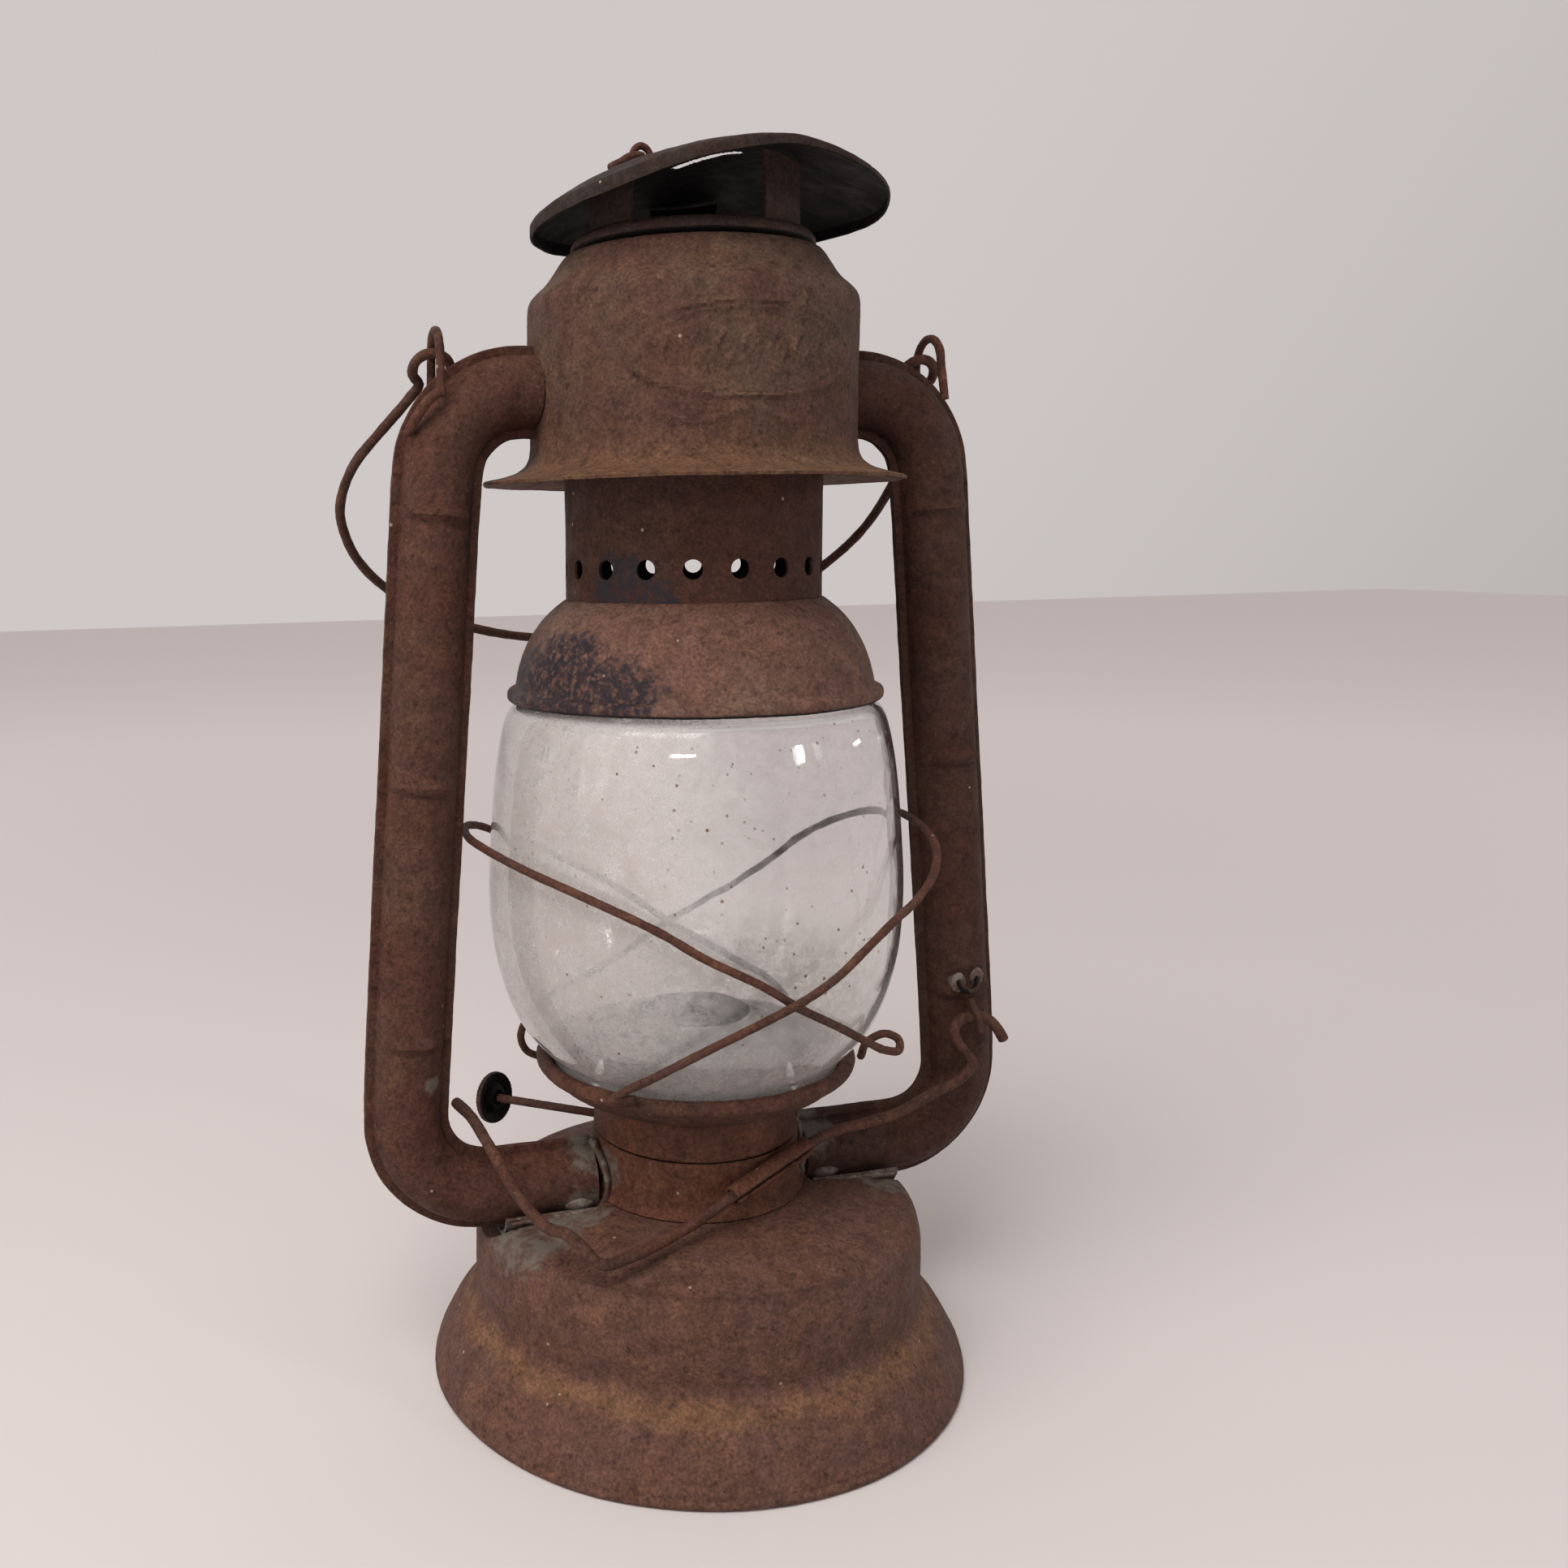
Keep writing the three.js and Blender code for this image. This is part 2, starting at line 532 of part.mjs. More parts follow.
function bail() {
  // Half-width and drop along the bail's own plane. The left side has been bent outwards.
  const shape = [
    [-74, 8.2], [-82, 19.5], [-87, 27], [-90, 35], [-91, 43], [-89.4, 51], [-85.6, 59.6], [-78, 69],
    [-66, 78], [-51, 85.4], [-31, 90.2], [-5, 91], [20, 87.4], [42, 79], [57, 66.6], [67, 53],
    [71.8, 38.5], [73.4, 22], [72.6, 10],
  ];
  const place = ([x, drop]) => [
    x,
    EAR_ARCH_R * Math.cos(EYE_HEADING) + drop * Math.sin(BAIL_TILT),
    EAR_Z + EAR_ARCH_R * Math.sin(EYE_HEADING) - drop * Math.cos(BAIL_TILT),
  ];
  const eye = (side) => Array.from({ length: 9 }, (_, i) => {
    const angle = THREE.MathUtils.degToRad(-52 + (300 * i) / 8);
    return [side * (EAR_X + EYE_R * Math.cos(angle)), -EYE_R * Math.sin(angle)];
  });
  const path = [...eye(-1).reverse(), ...shape, ...eye(1)].map(place);
  add('bail', wire(path, BAIL_WIRE_R, 1, 6), 'darkRust');
}

// ---- lift lever -----------------------------------------------------------------------------
const LEVER_PIVOT = [11, -30.4, 66.2];
const LEVER_AXIS = new THREE.Vector3(0.905, 0.336, 0.26).normalize();
const SLEEVE_HALF = 14;

function onAxis(distance) {
  return new THREE.Vector3(...LEVER_PIVOT).addScaledVector(LEVER_AXIS, distance).toArray();
}

function leverParts() {
  const sleeve = closed(rod(onAxis(-SLEEVE_HALF), onAxis(SLEEVE_HALF), LEVER_WIRE_R + 1.1, 10));
  const bore = rod(onAxis(-SLEEVE_HALF - 5), onAxis(SLEEVE_HALF + 5), LEVER_WIRE_R + 0.35, 10);
  const chamber = rod([0, 0, DECK_Z], [0, 0, COLLAR_TOP_Z + 6], COLLAR_R + GAP, ROUND);
  add('lever_sleeve', cut(sleeve, [bore, chamber]), 'zinc');
  const path = [
    [-69.4, 0.5, 83.2], [-66.4, -6, 81.2], [-63.7, -15, 77], [-57.7, -27, 66], [-52.4, -34.6, 60.6],
    [-48.9, -40.5, 61.2], [-45.8, -45, 59.6], [-42, -49.2, 56.2], [-35, -47.4, 55.8],
    onAxis(-30), onAxis(-16), onAxis(0), onAxis(16), [32.4, -21.4, 70.8], [44, -16.4, 69.8],
    [56, -13.8, 70.4], [68.5, -13.6, 75.4], [75.6, -13.6, 78.2], [79.2, -13.6, 80.8], [80.3, -13.6, 83.6],
    [77.8, -13.6, 87], [75.2, -13.6, 91], [74.4, -13.6, 94.2], [75.8, -13.6, 96.4], [79, -13.6, 97.4],
    [83, -13.6, 97], [86, -13.6, 95.4], [88.5, -13.6, 92.6], [90.4, -13.6, 89.4],
  ];
  // The twist of wire that ties the handle down, and the lug on the tube that it hangs from.
  const tie = [[79.5, -13.5, 102.7], [79.9, -14.7, 100.2], [80.9, -15.5, 97.6], [81.7, -15.4, 94.8],
    [82, -15, 93.2]];
  add('lift_lever', join([wire(path, LEVER_WIRE_R, 1, 6), wire(tie, 0.95, 1, 6)]), 'darkRust');
  const lug = [[77.1, -10.1, 107.4], [78, -11.9, 105.2], [79.8, -12.7, 104.7], [81.8, -12.2, 105.4],
    [83.1, -10.6, 108]];
  add('lever_catch', wire(lug, 0.9, 1, 6), 'zinc');
}

fount();
fillerCap();
collar();
wickParts();
wickShaft();
sideTubes();
hood();
chimney();
cap();
capStraps();
liftRing();
hoodSpring();
globe();
globePlate();
guardWires();
ears();
bail();
leverParts();

export default lantern;
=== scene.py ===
"""The look of the hanging lantern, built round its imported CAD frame.

Lengths are millimetres up to the point where a mesh is made, which turns them into metres.
+Z is up, X runs through the two side tubes, and the front is -Y. Headings are degrees from +X.
"""

import math

import bmesh
import bpy
from mathutils import Matrix, Vector, noise


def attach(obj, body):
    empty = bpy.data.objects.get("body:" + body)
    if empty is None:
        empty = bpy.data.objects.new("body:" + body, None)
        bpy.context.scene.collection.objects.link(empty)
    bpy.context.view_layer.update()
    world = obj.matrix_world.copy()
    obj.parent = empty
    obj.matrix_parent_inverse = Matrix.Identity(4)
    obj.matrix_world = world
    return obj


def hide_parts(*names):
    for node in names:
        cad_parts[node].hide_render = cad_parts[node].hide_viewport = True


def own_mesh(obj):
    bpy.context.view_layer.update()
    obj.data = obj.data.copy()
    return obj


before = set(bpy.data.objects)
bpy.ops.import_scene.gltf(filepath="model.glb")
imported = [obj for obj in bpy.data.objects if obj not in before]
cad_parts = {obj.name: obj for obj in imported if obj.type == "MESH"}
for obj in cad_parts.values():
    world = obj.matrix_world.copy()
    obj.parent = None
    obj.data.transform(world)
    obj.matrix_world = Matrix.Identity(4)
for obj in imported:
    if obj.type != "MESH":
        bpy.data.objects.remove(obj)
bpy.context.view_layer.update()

MM = 0.001
FRONT = -90
UP = Vector((0, 0, 1))


def placed(name, data):
    holder = bpy.data.objects.new(name, data)
    bpy.context.scene.collection.objects.link(holder)
    return holder


# ---- camera, at the photograph's viewing angle ----
CAMERA_AT = Vector((-131.27, -377.85, 236.35))
CAMERA_FORWARD = Vector((0.23994, 0.95626, -0.16731))
CAMERA_ROLL = -1.02
LENS = 33.5
SHIFT_X = 0.139


def place_camera():
    camera = placed("camera", bpy.data.cameras.new("camera"))
    right = CAMERA_FORWARD.cross(UP).normalized()
    up = right.cross(CAMERA_FORWARD).normalized()
    turn = math.radians(CAMERA_ROLL)
    rolled_right = right * math.cos(turn) + up * math.sin(turn)
    rolled_up = up * math.cos(turn) - right * math.sin(turn)
    axes = Matrix((rolled_right, rolled_up, -CAMERA_FORWARD.normalized())).transposed()
    camera.matrix_world = Matrix.Translation(CAMERA_AT * MM) @ axes.to_4x4()
    camera.data.lens = LENS
    camera.data.sensor_width = 36
    camera.data.shift_x = SHIFT_X
    camera.data.clip_start = 0.01
    bpy.context.scene.camera = camera


place_camera()


# ---- materials ----
class Graph:
    """Adds nodes to one material or world, and links whatever is a socket."""

    def __init__(self, name, family=bpy.data.materials):
        self.owner = family.new(name)
        self.owner.use_nodes = True
        self.tree = self.owner.node_tree
        self.tree.nodes.clear()
        self.coordinates = self.add("ShaderNodeTexCoord")
        self.place = self.coordinates.outputs["Object"]

    def add(self, kind, settings=None, **inputs):
        node = self.tree.nodes.new(kind)
        for key, value in (settings or {}).items():
            setattr(node, key, value)
        for key, value in inputs.items():
            self.feed(node.inputs[key.replace("_", " ")], value)
        return node

    def feed(self, socket, value):
        if isinstance(value, bpy.types.NodeSocket):
            self.tree.links.new(value, socket)
        elif isinstance(value, (tuple, list)) and len(value) == 3 and socket.type == "RGBA":
            socket.default_value = (*value, 1)
        else:
            socket.default_value = value

    def math(self, operation, *values):
        node = self.add("ShaderNodeMath", {"operation": operation})
        for socket, value in zip(node.inputs, values):
            self.feed(socket, value)
        return node.outputs[0]

    def vector(self, operation, first, second=(0, 0, 0), result="Value"):
        node = self.add("ShaderNodeVectorMath", {"operation": operation})
        self.feed(node.inputs[0], first)
        self.feed(node.inputs[1], second)
        return node.outputs[result]

    def times(self, first, second):
        return self.math("MULTIPLY", first, second)

    def axis(self, letter):
        return self.add("ShaderNodeSeparateXYZ", Vector=self.place).outputs[letter]

    def noise(self, size, detail, rough, seed, warp=0.0):
        """A cloud of values round 0.5, whose lumps are about `size` millimetres."""
        node = self.add("ShaderNodeTexNoise", {"noise_dimensions": "4D"}, Vector=self.place,
                        W=seed, Scale=1 / (size * MM), Detail=detail, Roughness=rough, Distortion=warp)
        return node.outputs["Fac"]

    def flecks(self, size, edge, core):
        """Small round flecks, one to each cell of about `size` millimetres."""
        cells = self.add("ShaderNodeTexVoronoi", {"feature": "F1"}, Vector=self.place, Scale=1 / (size * MM),
                         Randomness=1.0)
        return self.ramp(cells.outputs["Distance"], edge, core)

    def ramp(self, value, low, high, out_low=0.0, out_high=1.0):
        node = self.add("ShaderNodeMapRange", {"interpolation_type": "SMOOTHSTEP", "clamp": True})
        for socket, number in zip(node.inputs, (value, low, high, out_low, out_high)):
            self.feed(socket, number)
        return node.outputs[0]

    def mix(self, share, under, over, blend="MIX"):
        node = self.add("ShaderNodeMix", {"data_type": "RGBA", "blend_type": blend})
        self.feed(node.inputs[0], share)
        self.feed(node.inputs[6], under)
        self.feed(node.inputs[7], over)
        return node.outputs[2]

    def shade(self, colour, value):
        grey = self.add("ShaderNodeCombineXYZ", X=value, Y=value, Z=value).outputs[0]
        return self.mix(1.0, colour, grey, "MULTIPLY")

    def near(self, centre, radius, seed):
        """1 inside a ragged patch round a point, 0 outside it."""
        radius = radius * MM
        distance = self.vector("DISTANCE", self.place, [value * MM for value in centre])
        wander = self.math("MULTIPLY_ADD", self.noise(4, 4, 0.65, seed), 1.4 * radius, -0.7 * radius)
        return self.ramp(self.math("ADD", distance, wander), 1.1 * radius, 0.75 * radius)

    def any_of(self, masks):
        whole = masks[0]
        for mask in masks[1:]:
            whole = self.math("MAXIMUM", whole, mask)
        return whole

    def patches(self, spots, seed):
        return self.any_of([self.near(*spot, seed + i) for i, spot in enumerate(spots)])

    def show(self, shader, output="ShaderNodeOutputMaterial"):
        self.add(output, Surface=shader.outputs[0])
        return self.owner

    def finish(self, colour, rough, height=None, bump_mm=0.1, **settings):
        shader = self.add("ShaderNodeBsdfPrincipled", Base_Color=colour, Roughness=rough, **settings)
        if height is not None:
            bumps = self.add("ShaderNodeBump", Height=height, Strength=0.8, Distance=bump_mm * MM)
            self.feed(shader.inputs["Normal"], bumps.outputs[0])
        return self.show(shader)


SOLDER_GREY = (0.13, 0.115, 0.095)
SOOT = (0.022, 0.017, 0.021)


def rust(name, base, red, ochre, seed, ochre_share, soot=(), solder=(), dust_and_highlight=None, dark=1.0, painted_shade_inside=False):
    """Old tinplate rust: drifts of brown, red and ochre under a fine grain, with pits and pale flakes.

    soot and solder are lists of (centre, radius) patches. dust_and_highlight is the height, in millimetres,
    of an ochre band,
    how far it spreads and how much: ochre dust on the hood, and partly a painted highlight along the fount's
    fold.
    With painted_shade_inside, faces turned inwards or downwards get painted shade, almost black.
    """
    g = Graph(name)
    drift = g.noise(26, 3, 0.5, seed)
    cloud = g.noise(9, 4, 0.6, seed + 3, 0.6)
    patch = g.noise(4.5, 4, 0.65, seed + 29, 0.4)
    grain = g.noise(0.9, 4, 0.75, seed + 7)
    speck = g.noise(2.2, 3, 0.6, seed + 11)
    colour = g.mix(g.ramp(drift, 0.38, 0.62), base, red)
    colour = g.mix(g.times(g.ramp(cloud, 0.5, 0.68), ochre_share), colour, ochre)
    if dust_and_highlight:
        # An ochre band at one height: ochre dust, and on the fount partly a painted highlight along its
        # fold.
        level, spread_mm, share = dust_and_highlight
        rise = g.math("MULTIPLY_ADD", g.noise(7, 4, 0.6, seed + 5), 8 * MM, (-4 - level) * MM)
        band = g.ramp(g.math("ABSOLUTE", g.math("ADD", g.axis("Z"), rise)), spread_mm * MM, 0)
        colour = g.mix(g.times(band, share), colour, ochre)
    dark_specks = g.times(g.ramp(speck, 0.56, 0.67), 0.5)
    colour = g.mix(dark_specks, colour, tuple(0.3 * value for value in base))
    light_specks = g.times(g.ramp(g.noise(1.3, 4, 0.7, seed + 17), 0.6, 0.7), 0.35)
    colour = g.mix(light_specks, colour, tuple(1.6 * value for value in ochre))
    fine_tone = g.ramp(grain, 0.3, 0.7, 0.62 * dark, 1.4 * dark)
    colour = g.shade(colour, g.times(fine_tone, g.ramp(patch, 0.32, 0.68, 0.8, 1.22)))
    colour = g.mix(g.times(g.flecks(11, 0.05, 0.028), 0.8), colour, (0.36, 0.26, 0.2))
    rough = g.ramp(cloud, 0.3, 0.7, 0.6, 0.86)
    height = g.math("ADD", g.times(grain, 0.8), g.times(speck, 0.7))
    if soot:
        mask = g.times(g.patches(soot, seed), g.ramp(g.noise(2, 5, 0.7, seed + 23), 0.34, 0.56))
        colour = g.mix(mask, colour, SOOT)
        rough = g.math("SUBTRACT", rough, g.times(mask, 0.25))
    if solder:
        mask = g.times(g.patches(solder, seed), g.ramp(patch, 0.4, 0.56, 0.25, 0.85))
        colour = g.mix(mask, colour, SOLDER_GREY)
        rough = g.math("SUBTRACT", rough, g.times(mask, 0.15))
    if painted_shade_inside:
        # Painted shade: faces turned inwards or downwards are darkened almost to black, as if shade fell
        # inside and under the piece.
        normal = g.coordinates.outputs["Normal"]
        outward = g.vector("MULTIPLY", g.place, (1, 1, 0), "Vector")
        inner = g.ramp(g.vector("DOT_PRODUCT", normal, outward), -0.002, -0.009)
        under = g.ramp(g.vector("DOT_PRODUCT", normal, (0, 0, -1)), 0.3, 0.7)
        colour = g.mix(g.times(g.any_of([inner, under]), 0.97), colour, (0.004, 0.003, 0.003))
    return g.finish(colour, rough, height, 0.4, Specular_IOR_Level=0.22)


BROWN = (0.088, 0.042, 0.030)
RED_BROWN = (0.084, 0.034, 0.024)
OCHRE = (0.150, 0.078, 0.040)
OLIVE = (0.096, 0.058, 0.040)

rust_hood = rust("rust_hood", (0.088, 0.043, 0.032), OLIVE, OCHRE, 1, 0.26, dust_and_highlight=(250, 15, 0.6), dark=0.83)
rust_tube_left = rust("rust_tube_left", RED_BROWN, BROWN, OCHRE, 5, 0.22, dark=0.78, solder=[
    ((-30, -2, 66), 9), ((-34, -6, 50), 9), ((-78, -6, 92), 3)])
# The right tube's tone is set darker than the left's: painted shade, as if it stood in shadow.
rust_tube_right = rust("rust_tube_right", RED_BROWN, BROWN, OCHRE, 6, 0.2, dark=0.55, solder=[
    ((77.2, -9, 106.6), 2.6), ((83.4, -8.6, 108), 2.4), ((33, -4, 64), 8)])
rust_dome = rust("rust_dome", (0.1, 0.058, 0.044), (0.094, 0.048, 0.036), OCHRE, 9, 0.2, dark=1.2,
                 painted_shade_inside=True, soot=[((-43, -22, 200), 16), ((-28, -34, 196), 11), ((-49, -5, 198), 12)])
# The chimney's tone is set darker: painted shade under the hood's skirt.
rust_chimney = rust("rust_chimney", RED_BROWN, BROWN, OCHRE, 10, 0.2, dark=0.63, painted_shade_inside=True, soot=[
    ((-26, -20, 224), 9), ((-20, -28, 219), 7)])
# The fount's ochre band at the wall's fold is partly a painted highlight along that fold.
rust_base = rust("rust_base", BROWN, (0.086, 0.043, 0.033), OCHRE, 13, 0.3, dust_and_highlight=(19, 4.5, 0.7), dark=1.06,
                 solder=[((-52, -16, 51), 14), ((-38, -14, 53), 8), ((52, -14, 51), 8)])
rust_collar = rust("rust_collar", RED_BROWN, (0.115, 0.046, 0.027), OCHRE, 17, 0.35, dark=0.85, solder=[
    ((-29, -8, 62), 6), ((28, -10, 60), 6)])
rust_cap = rust("rust_cap", (0.06, 0.042, 0.035), (0.066, 0.036, 0.028), BROWN, 21, 0.2, dark=0.44,
                painted_shade_inside=True)
rust_wire = rust("rust_wire", (0.07, 0.035, 0.026), RED_BROWN, OCHRE, 25, 0.3, dark=0.85)
rust_dark = rust("rust_dark", (0.032, 0.02, 0.017), (0.044, 0.024, 0.018), BROWN, 29, 0.3, painted_shade_inside=True)


def solder_metal():
    g = Graph("solder_metal")
    cloud = g.noise(5, 4, 0.6, 2)
    grain = g.noise(0.8, 4, 0.7, 4)
    colour = g.mix(g.ramp(cloud, 0.35, 0.65), (0.1, 0.09, 0.075), (0.17, 0.15, 0.125))
    stain = g.times(g.ramp(g.noise(3.2, 4, 0.65, 9), 0.42, 0.56), 0.9)
    colour = g.mix(stain, colour, (0.075, 0.035, 0.025))
    colour = g.shade(colour, g.ramp(grain, 0.3, 0.7, 0.7, 1.25))
    rough = g.ramp(cloud, 0.3, 0.7, 0.45, 0.7)
    return g.finish(colour, rough, g.math("ADD", grain, cloud), 0.3, Specular_IOR_Level=0.6)


def dull_metal(name, seed, size, bright, dull, stains, rough, metallic):
    """A duller metal. stains gives their size, raggedness, threshold, softness, share and colour."""
    g = Graph(name)
    cloud = g.noise(size, 4, 0.6, seed)
    colour = g.mix(g.ramp(cloud, 0.35, 0.65), bright, dull)
    stain_size, ragged, start, softness, share, stain = stains
    spots = g.ramp(g.noise(stain_size, 4, ragged, seed + 2), start, start + softness)
    colour = g.mix(g.times(spots, share), colour, stain)
    return g.finish(colour, g.ramp(cloud, 0.3, 0.7, rough, rough + 0.25), g.noise(0.9, 3, 0.6, seed + 4),
                    0.12, Metallic=metallic)


def wick_cotton():
    """Flat woven cotton: fine warp lines along the wick, crossed by the weft, and a charred top."""
    g = Graph("wick_cotton")

    def stripes(direction, scale, distortion):
        return g.add("ShaderNodeTexWave", {"wave_type": "BANDS", "bands_direction": direction},
                     Vector=g.place, Scale=scale / MM, Distortion=distortion, Detail=1.0).outputs["Fac"]
    weave = g.times(stripes("X", 0.22, 0.4), stripes("Z", 0.3, 0.3))
    colour = g.mix(weave, (0.3, 0.26, 0.2), (0.46, 0.41, 0.33))
    height = g.math("ADD", g.axis("Z"), g.times(g.noise(2, 4, 0.6, 3), 4 * MM))
    colour = g.mix(g.ramp(height, 93 * MM, 99 * MM), colour, (0.02, 0.018, 0.016))
    return g.finish(colour, 0.95, weave, 0.25)


def cork():
    g = Graph("gasket_cork")
    spots = g.noise(1.2, 4, 0.7, 51)
    colour = g.mix(g.ramp(spots, 0.4, 0.6), (0.3, 0.17, 0.085), (0.14, 0.075, 0.04))
    return g.finish(colour, 0.92, spots, 0.3)


def dusty_glass():
    """Clear pressed glass with a tan film on the left and rusty specks. Lamps shine through it."""
    g = Graph("dusty_glass")
    film = g.noise(14, 4, 0.6, 61, 0.8)
    side = g.ramp(g.math("ADD", g.axis("X"), g.times(film, 40 * MM)), 26 * MM, -24 * MM)
    low = g.ramp(g.axis("Z"), 128 * MM, 96 * MM)
    dust = g.times(g.noise(0.7, 4, 0.8, 63), g.noise(3.5, 4, 0.7, 65))
    haze = g.times(g.math("MAXIMUM", side, g.times(low, 0.85)), g.ramp(dust, 0.14, 0.34, 0.1, 0.6))
    everywhere = g.times(g.ramp(dust, 0.2, 0.45), 0.14)
    speck = g.times(g.flecks(4.2, 0.13, 0.07), g.ramp(g.noise(16, 3, 0.6, 67), 0.46, 0.6))
    dirt = g.any_of([haze, everywhere, g.times(speck, 0.85)])
    colour = g.mix(dirt, (0.955, 0.95, 0.945), (0.17, 0.095, 0.058))
    colour = g.mix(speck, colour, (0.14, 0.07, 0.04))
    clean = g.math("SUBTRACT", 1.0, dirt)
    ripple = g.add("ShaderNodeBump", Height=g.noise(17, 2, 0.4, 69), Strength=0.5, Distance=0.5 * MM)
    shader = g.add("ShaderNodeBsdfPrincipled", Roughness=0.03, IOR=1.47, Base_Color=colour,
                   Transmission_Weight=clean, Normal=ripple.outputs[0])
    clear = g.add("ShaderNodeBsdfTransparent", Color=(0.94, 0.95, 0.94))
    lamp = g.add("ShaderNodeLightPath").outputs["Is Shadow Ray"]
    blend = g.add("ShaderNodeMixShader")
    for socket, value in zip(blend.inputs, (g.times(lamp, clean), shader.outputs[0], clear.outputs[0])):
        g.feed(socket, value)
    return g.show(blend)


solder = solder_metal()
brass = dull_metal("old_brass", 31, 6, (0.2, 0.165, 0.095), (0.11, 0.095, 0.07),
                   (2.5, 0.6, 0.5, 0.15, 0.7, (0.06, 0.05, 0.042)), 0.4, 0.55)
tin = dull_metal("grey_tin", 41, 7, (0.24, 0.235, 0.225), (0.14, 0.125, 0.11),
                 (3, 0.65, 0.52, 0.14, 0.6, (0.1, 0.065, 0.045)), 0.5, 0.3)
cotton = wick_cotton()
gasket_cork = cork()
glass = dusty_glass()


# ---- mesh helpers ----
def spread(start, end, steps):
    """Values at even steps from start to end, both included."""
    return [start + (end - start) * k / steps for k in range(steps + 1)]


def on_circle(degrees, radius):
    angle = math.radians(degrees)
    return radius * math.cos(angle), radius * math.sin(angle)


def polar(heading, radius, z):
    return Vector((*on_circle(heading, radius), z))


def heading_of(point):
    return math.degrees(math.atan2(point.y, point.x))


def off_axis(point):
    return math.hypot(point.x, point.y)


def pushed(point, distance):
    """The point, moved straight away from the Z axis."""
    return point + Vector((point.x, point.y, 0)).normalized() * distance


def bump(value, centre, width):
    """A smooth bump of height 1 at centre."""
    return math.exp(-((value - centre) / width) ** 2)


def smoothstep(low, high, value):
    share = min(max((value - low) / (high - low), 0), 1)
    return share * share * (3 - 2 * share)


def lumps(point, size, seed=0.0):
    """Smooth noise between about -1 and 1, with lumps of about `size` millimetres."""
    return noise.noise(Vector(point) / size + Vector((seed, 1.7 * seed, -seed)))


def through(points, step):
    """A smooth curve through the points (centripetal Catmull-Rom), with a point about every step."""
    known = [Vector(p) for p in points]
    known = [2 * known[0] - known[1], *known, 2 * known[-1] - known[-2]]
    result = []
    for a, b, c, d in zip(known, known[1:], known[2:], known[3:]):
        before = math.sqrt((b - a).length)
        span = math.sqrt((c - b).length)
        after = math.sqrt((d - c).length)
        leave = ((b - a) / before - (c - a) / (before + span) + (c - b) / span) * span
        arrive = ((c - b) / span - (d - b) / (span + after) + (d - c) / after) * span
        count = max(1, round((c - b).length / step))
        for k in range(count):
            t = k / count
            result.append((2 * t**3 - 3 * t**2 + 1) * b + (t**3 - 2 * t**2 + t) * leave
                          + (3 * t**2 - 2 * t**3) * c + (t**3 - t**2) * arrive)
    return [*result, known[-2]]


def curved(profile, step):
    """A smooth profile through points of (radius, z)."""
    return [(p.x, p.y) for p in through([(r, z, 0) for r, z in profile], step)]


def fine(outline, step, closed=True, passes=2):
    """Splits an outline into short spans and softens its corners."""
    ends = outline[1:] + (outline[:1] if closed else [])
    points = []
    for (a, b), (c, d) in zip(outline, ends):
        count = max(1, math.ceil(math.hypot(c - a, d - b) / step))
        points += [(a + (c - a) * k / count, b + (d - b) * k / count) for k in range(count)]
    if not closed:
        points.append(outline[-1])
    for _ in range(passes):
        last = len(points) - 1
        points = [
            p if not closed and i in (0, last) else tuple(
                0.5 * p[k] + 0.25 * points[i - 1][k] + 0.25 * points[(i + 1) % len(points)][k]
                for k in (0, 1))
            for i, p in enumerate(points)]
    return points


def shell(outer, thickness):
    """A closed sheet outline: the outer profile from top to bottom, and the same moved inwards."""
    inner = []
    for i, (r, z) in enumerate(outer):
        (r0, z0), (r1, z1) = outer[max(i - 1, 0)], outer[min(i + 1, len(outer) - 1)]
        length = math.hypot(r1 - r0, z1 - z0) or 1
        inner.append((r + (z1 - z0) / length * thickness, z - (r1 - r0) / length * thickness))
    return [*outer, *reversed(inner)]


def grid_faces(rows, columns, wrap_rows, wrap_columns):
    """Quads between the neighbouring points of a grid that is stored row after row."""
    return [(i * columns + j, i * columns + (j + 1) % columns,
             (i + 1) % rows * columns + (j + 1) % columns, (i + 1) % rows * columns + j)
            for i in range(rows if wrap_rows else rows - 1)
            for j in range(columns if wrap_columns else columns - 1)]


def capped_faces(rows, columns):
    """The faces of a tube of rings that is closed at both ends."""
    last = (rows - 1) * columns
    return [*grid_faces(rows, columns, False, True), tuple(range(columns)),
            tuple(last + j for j in range(columns))]


def lathe(outline, headings, closed=True):
    """Turns an outline of (radius, z) about the Z axis."""
    points = [polar(heading, r, z) for heading in headings for r, z in outline]
    return points, grid_faces(len(headings), len(outline), True, closed)


def around(sides):
    return [360 * i / sides for i in range(sides)]


def sweep(route, ring_at, first=None):
    """Carries a ring of (across, depth) offsets along a route. ring_at(i) gives the ring at station i."""
    tangents = [(route[min(i + 1, len(route) - 1)] - route[max(i - 1, 0)]).normalized()
                for i in range(len(route))]
    depth = first or tangents[0].orthogonal().normalized()
    points = []
    for i, (centre, tangent) in enumerate(zip(route, tangents)):
        depth = (depth - tangent * depth.dot(tangent)).normalized()
        across = depth.cross(tangent)
        points += [centre + across * a + depth * d for a, d in ring_at(i)]
    return points, capped_faces(len(route), len(points) // len(route))


# A fold sharper than this stays a crisp edge.
CREASE = math.radians(50)


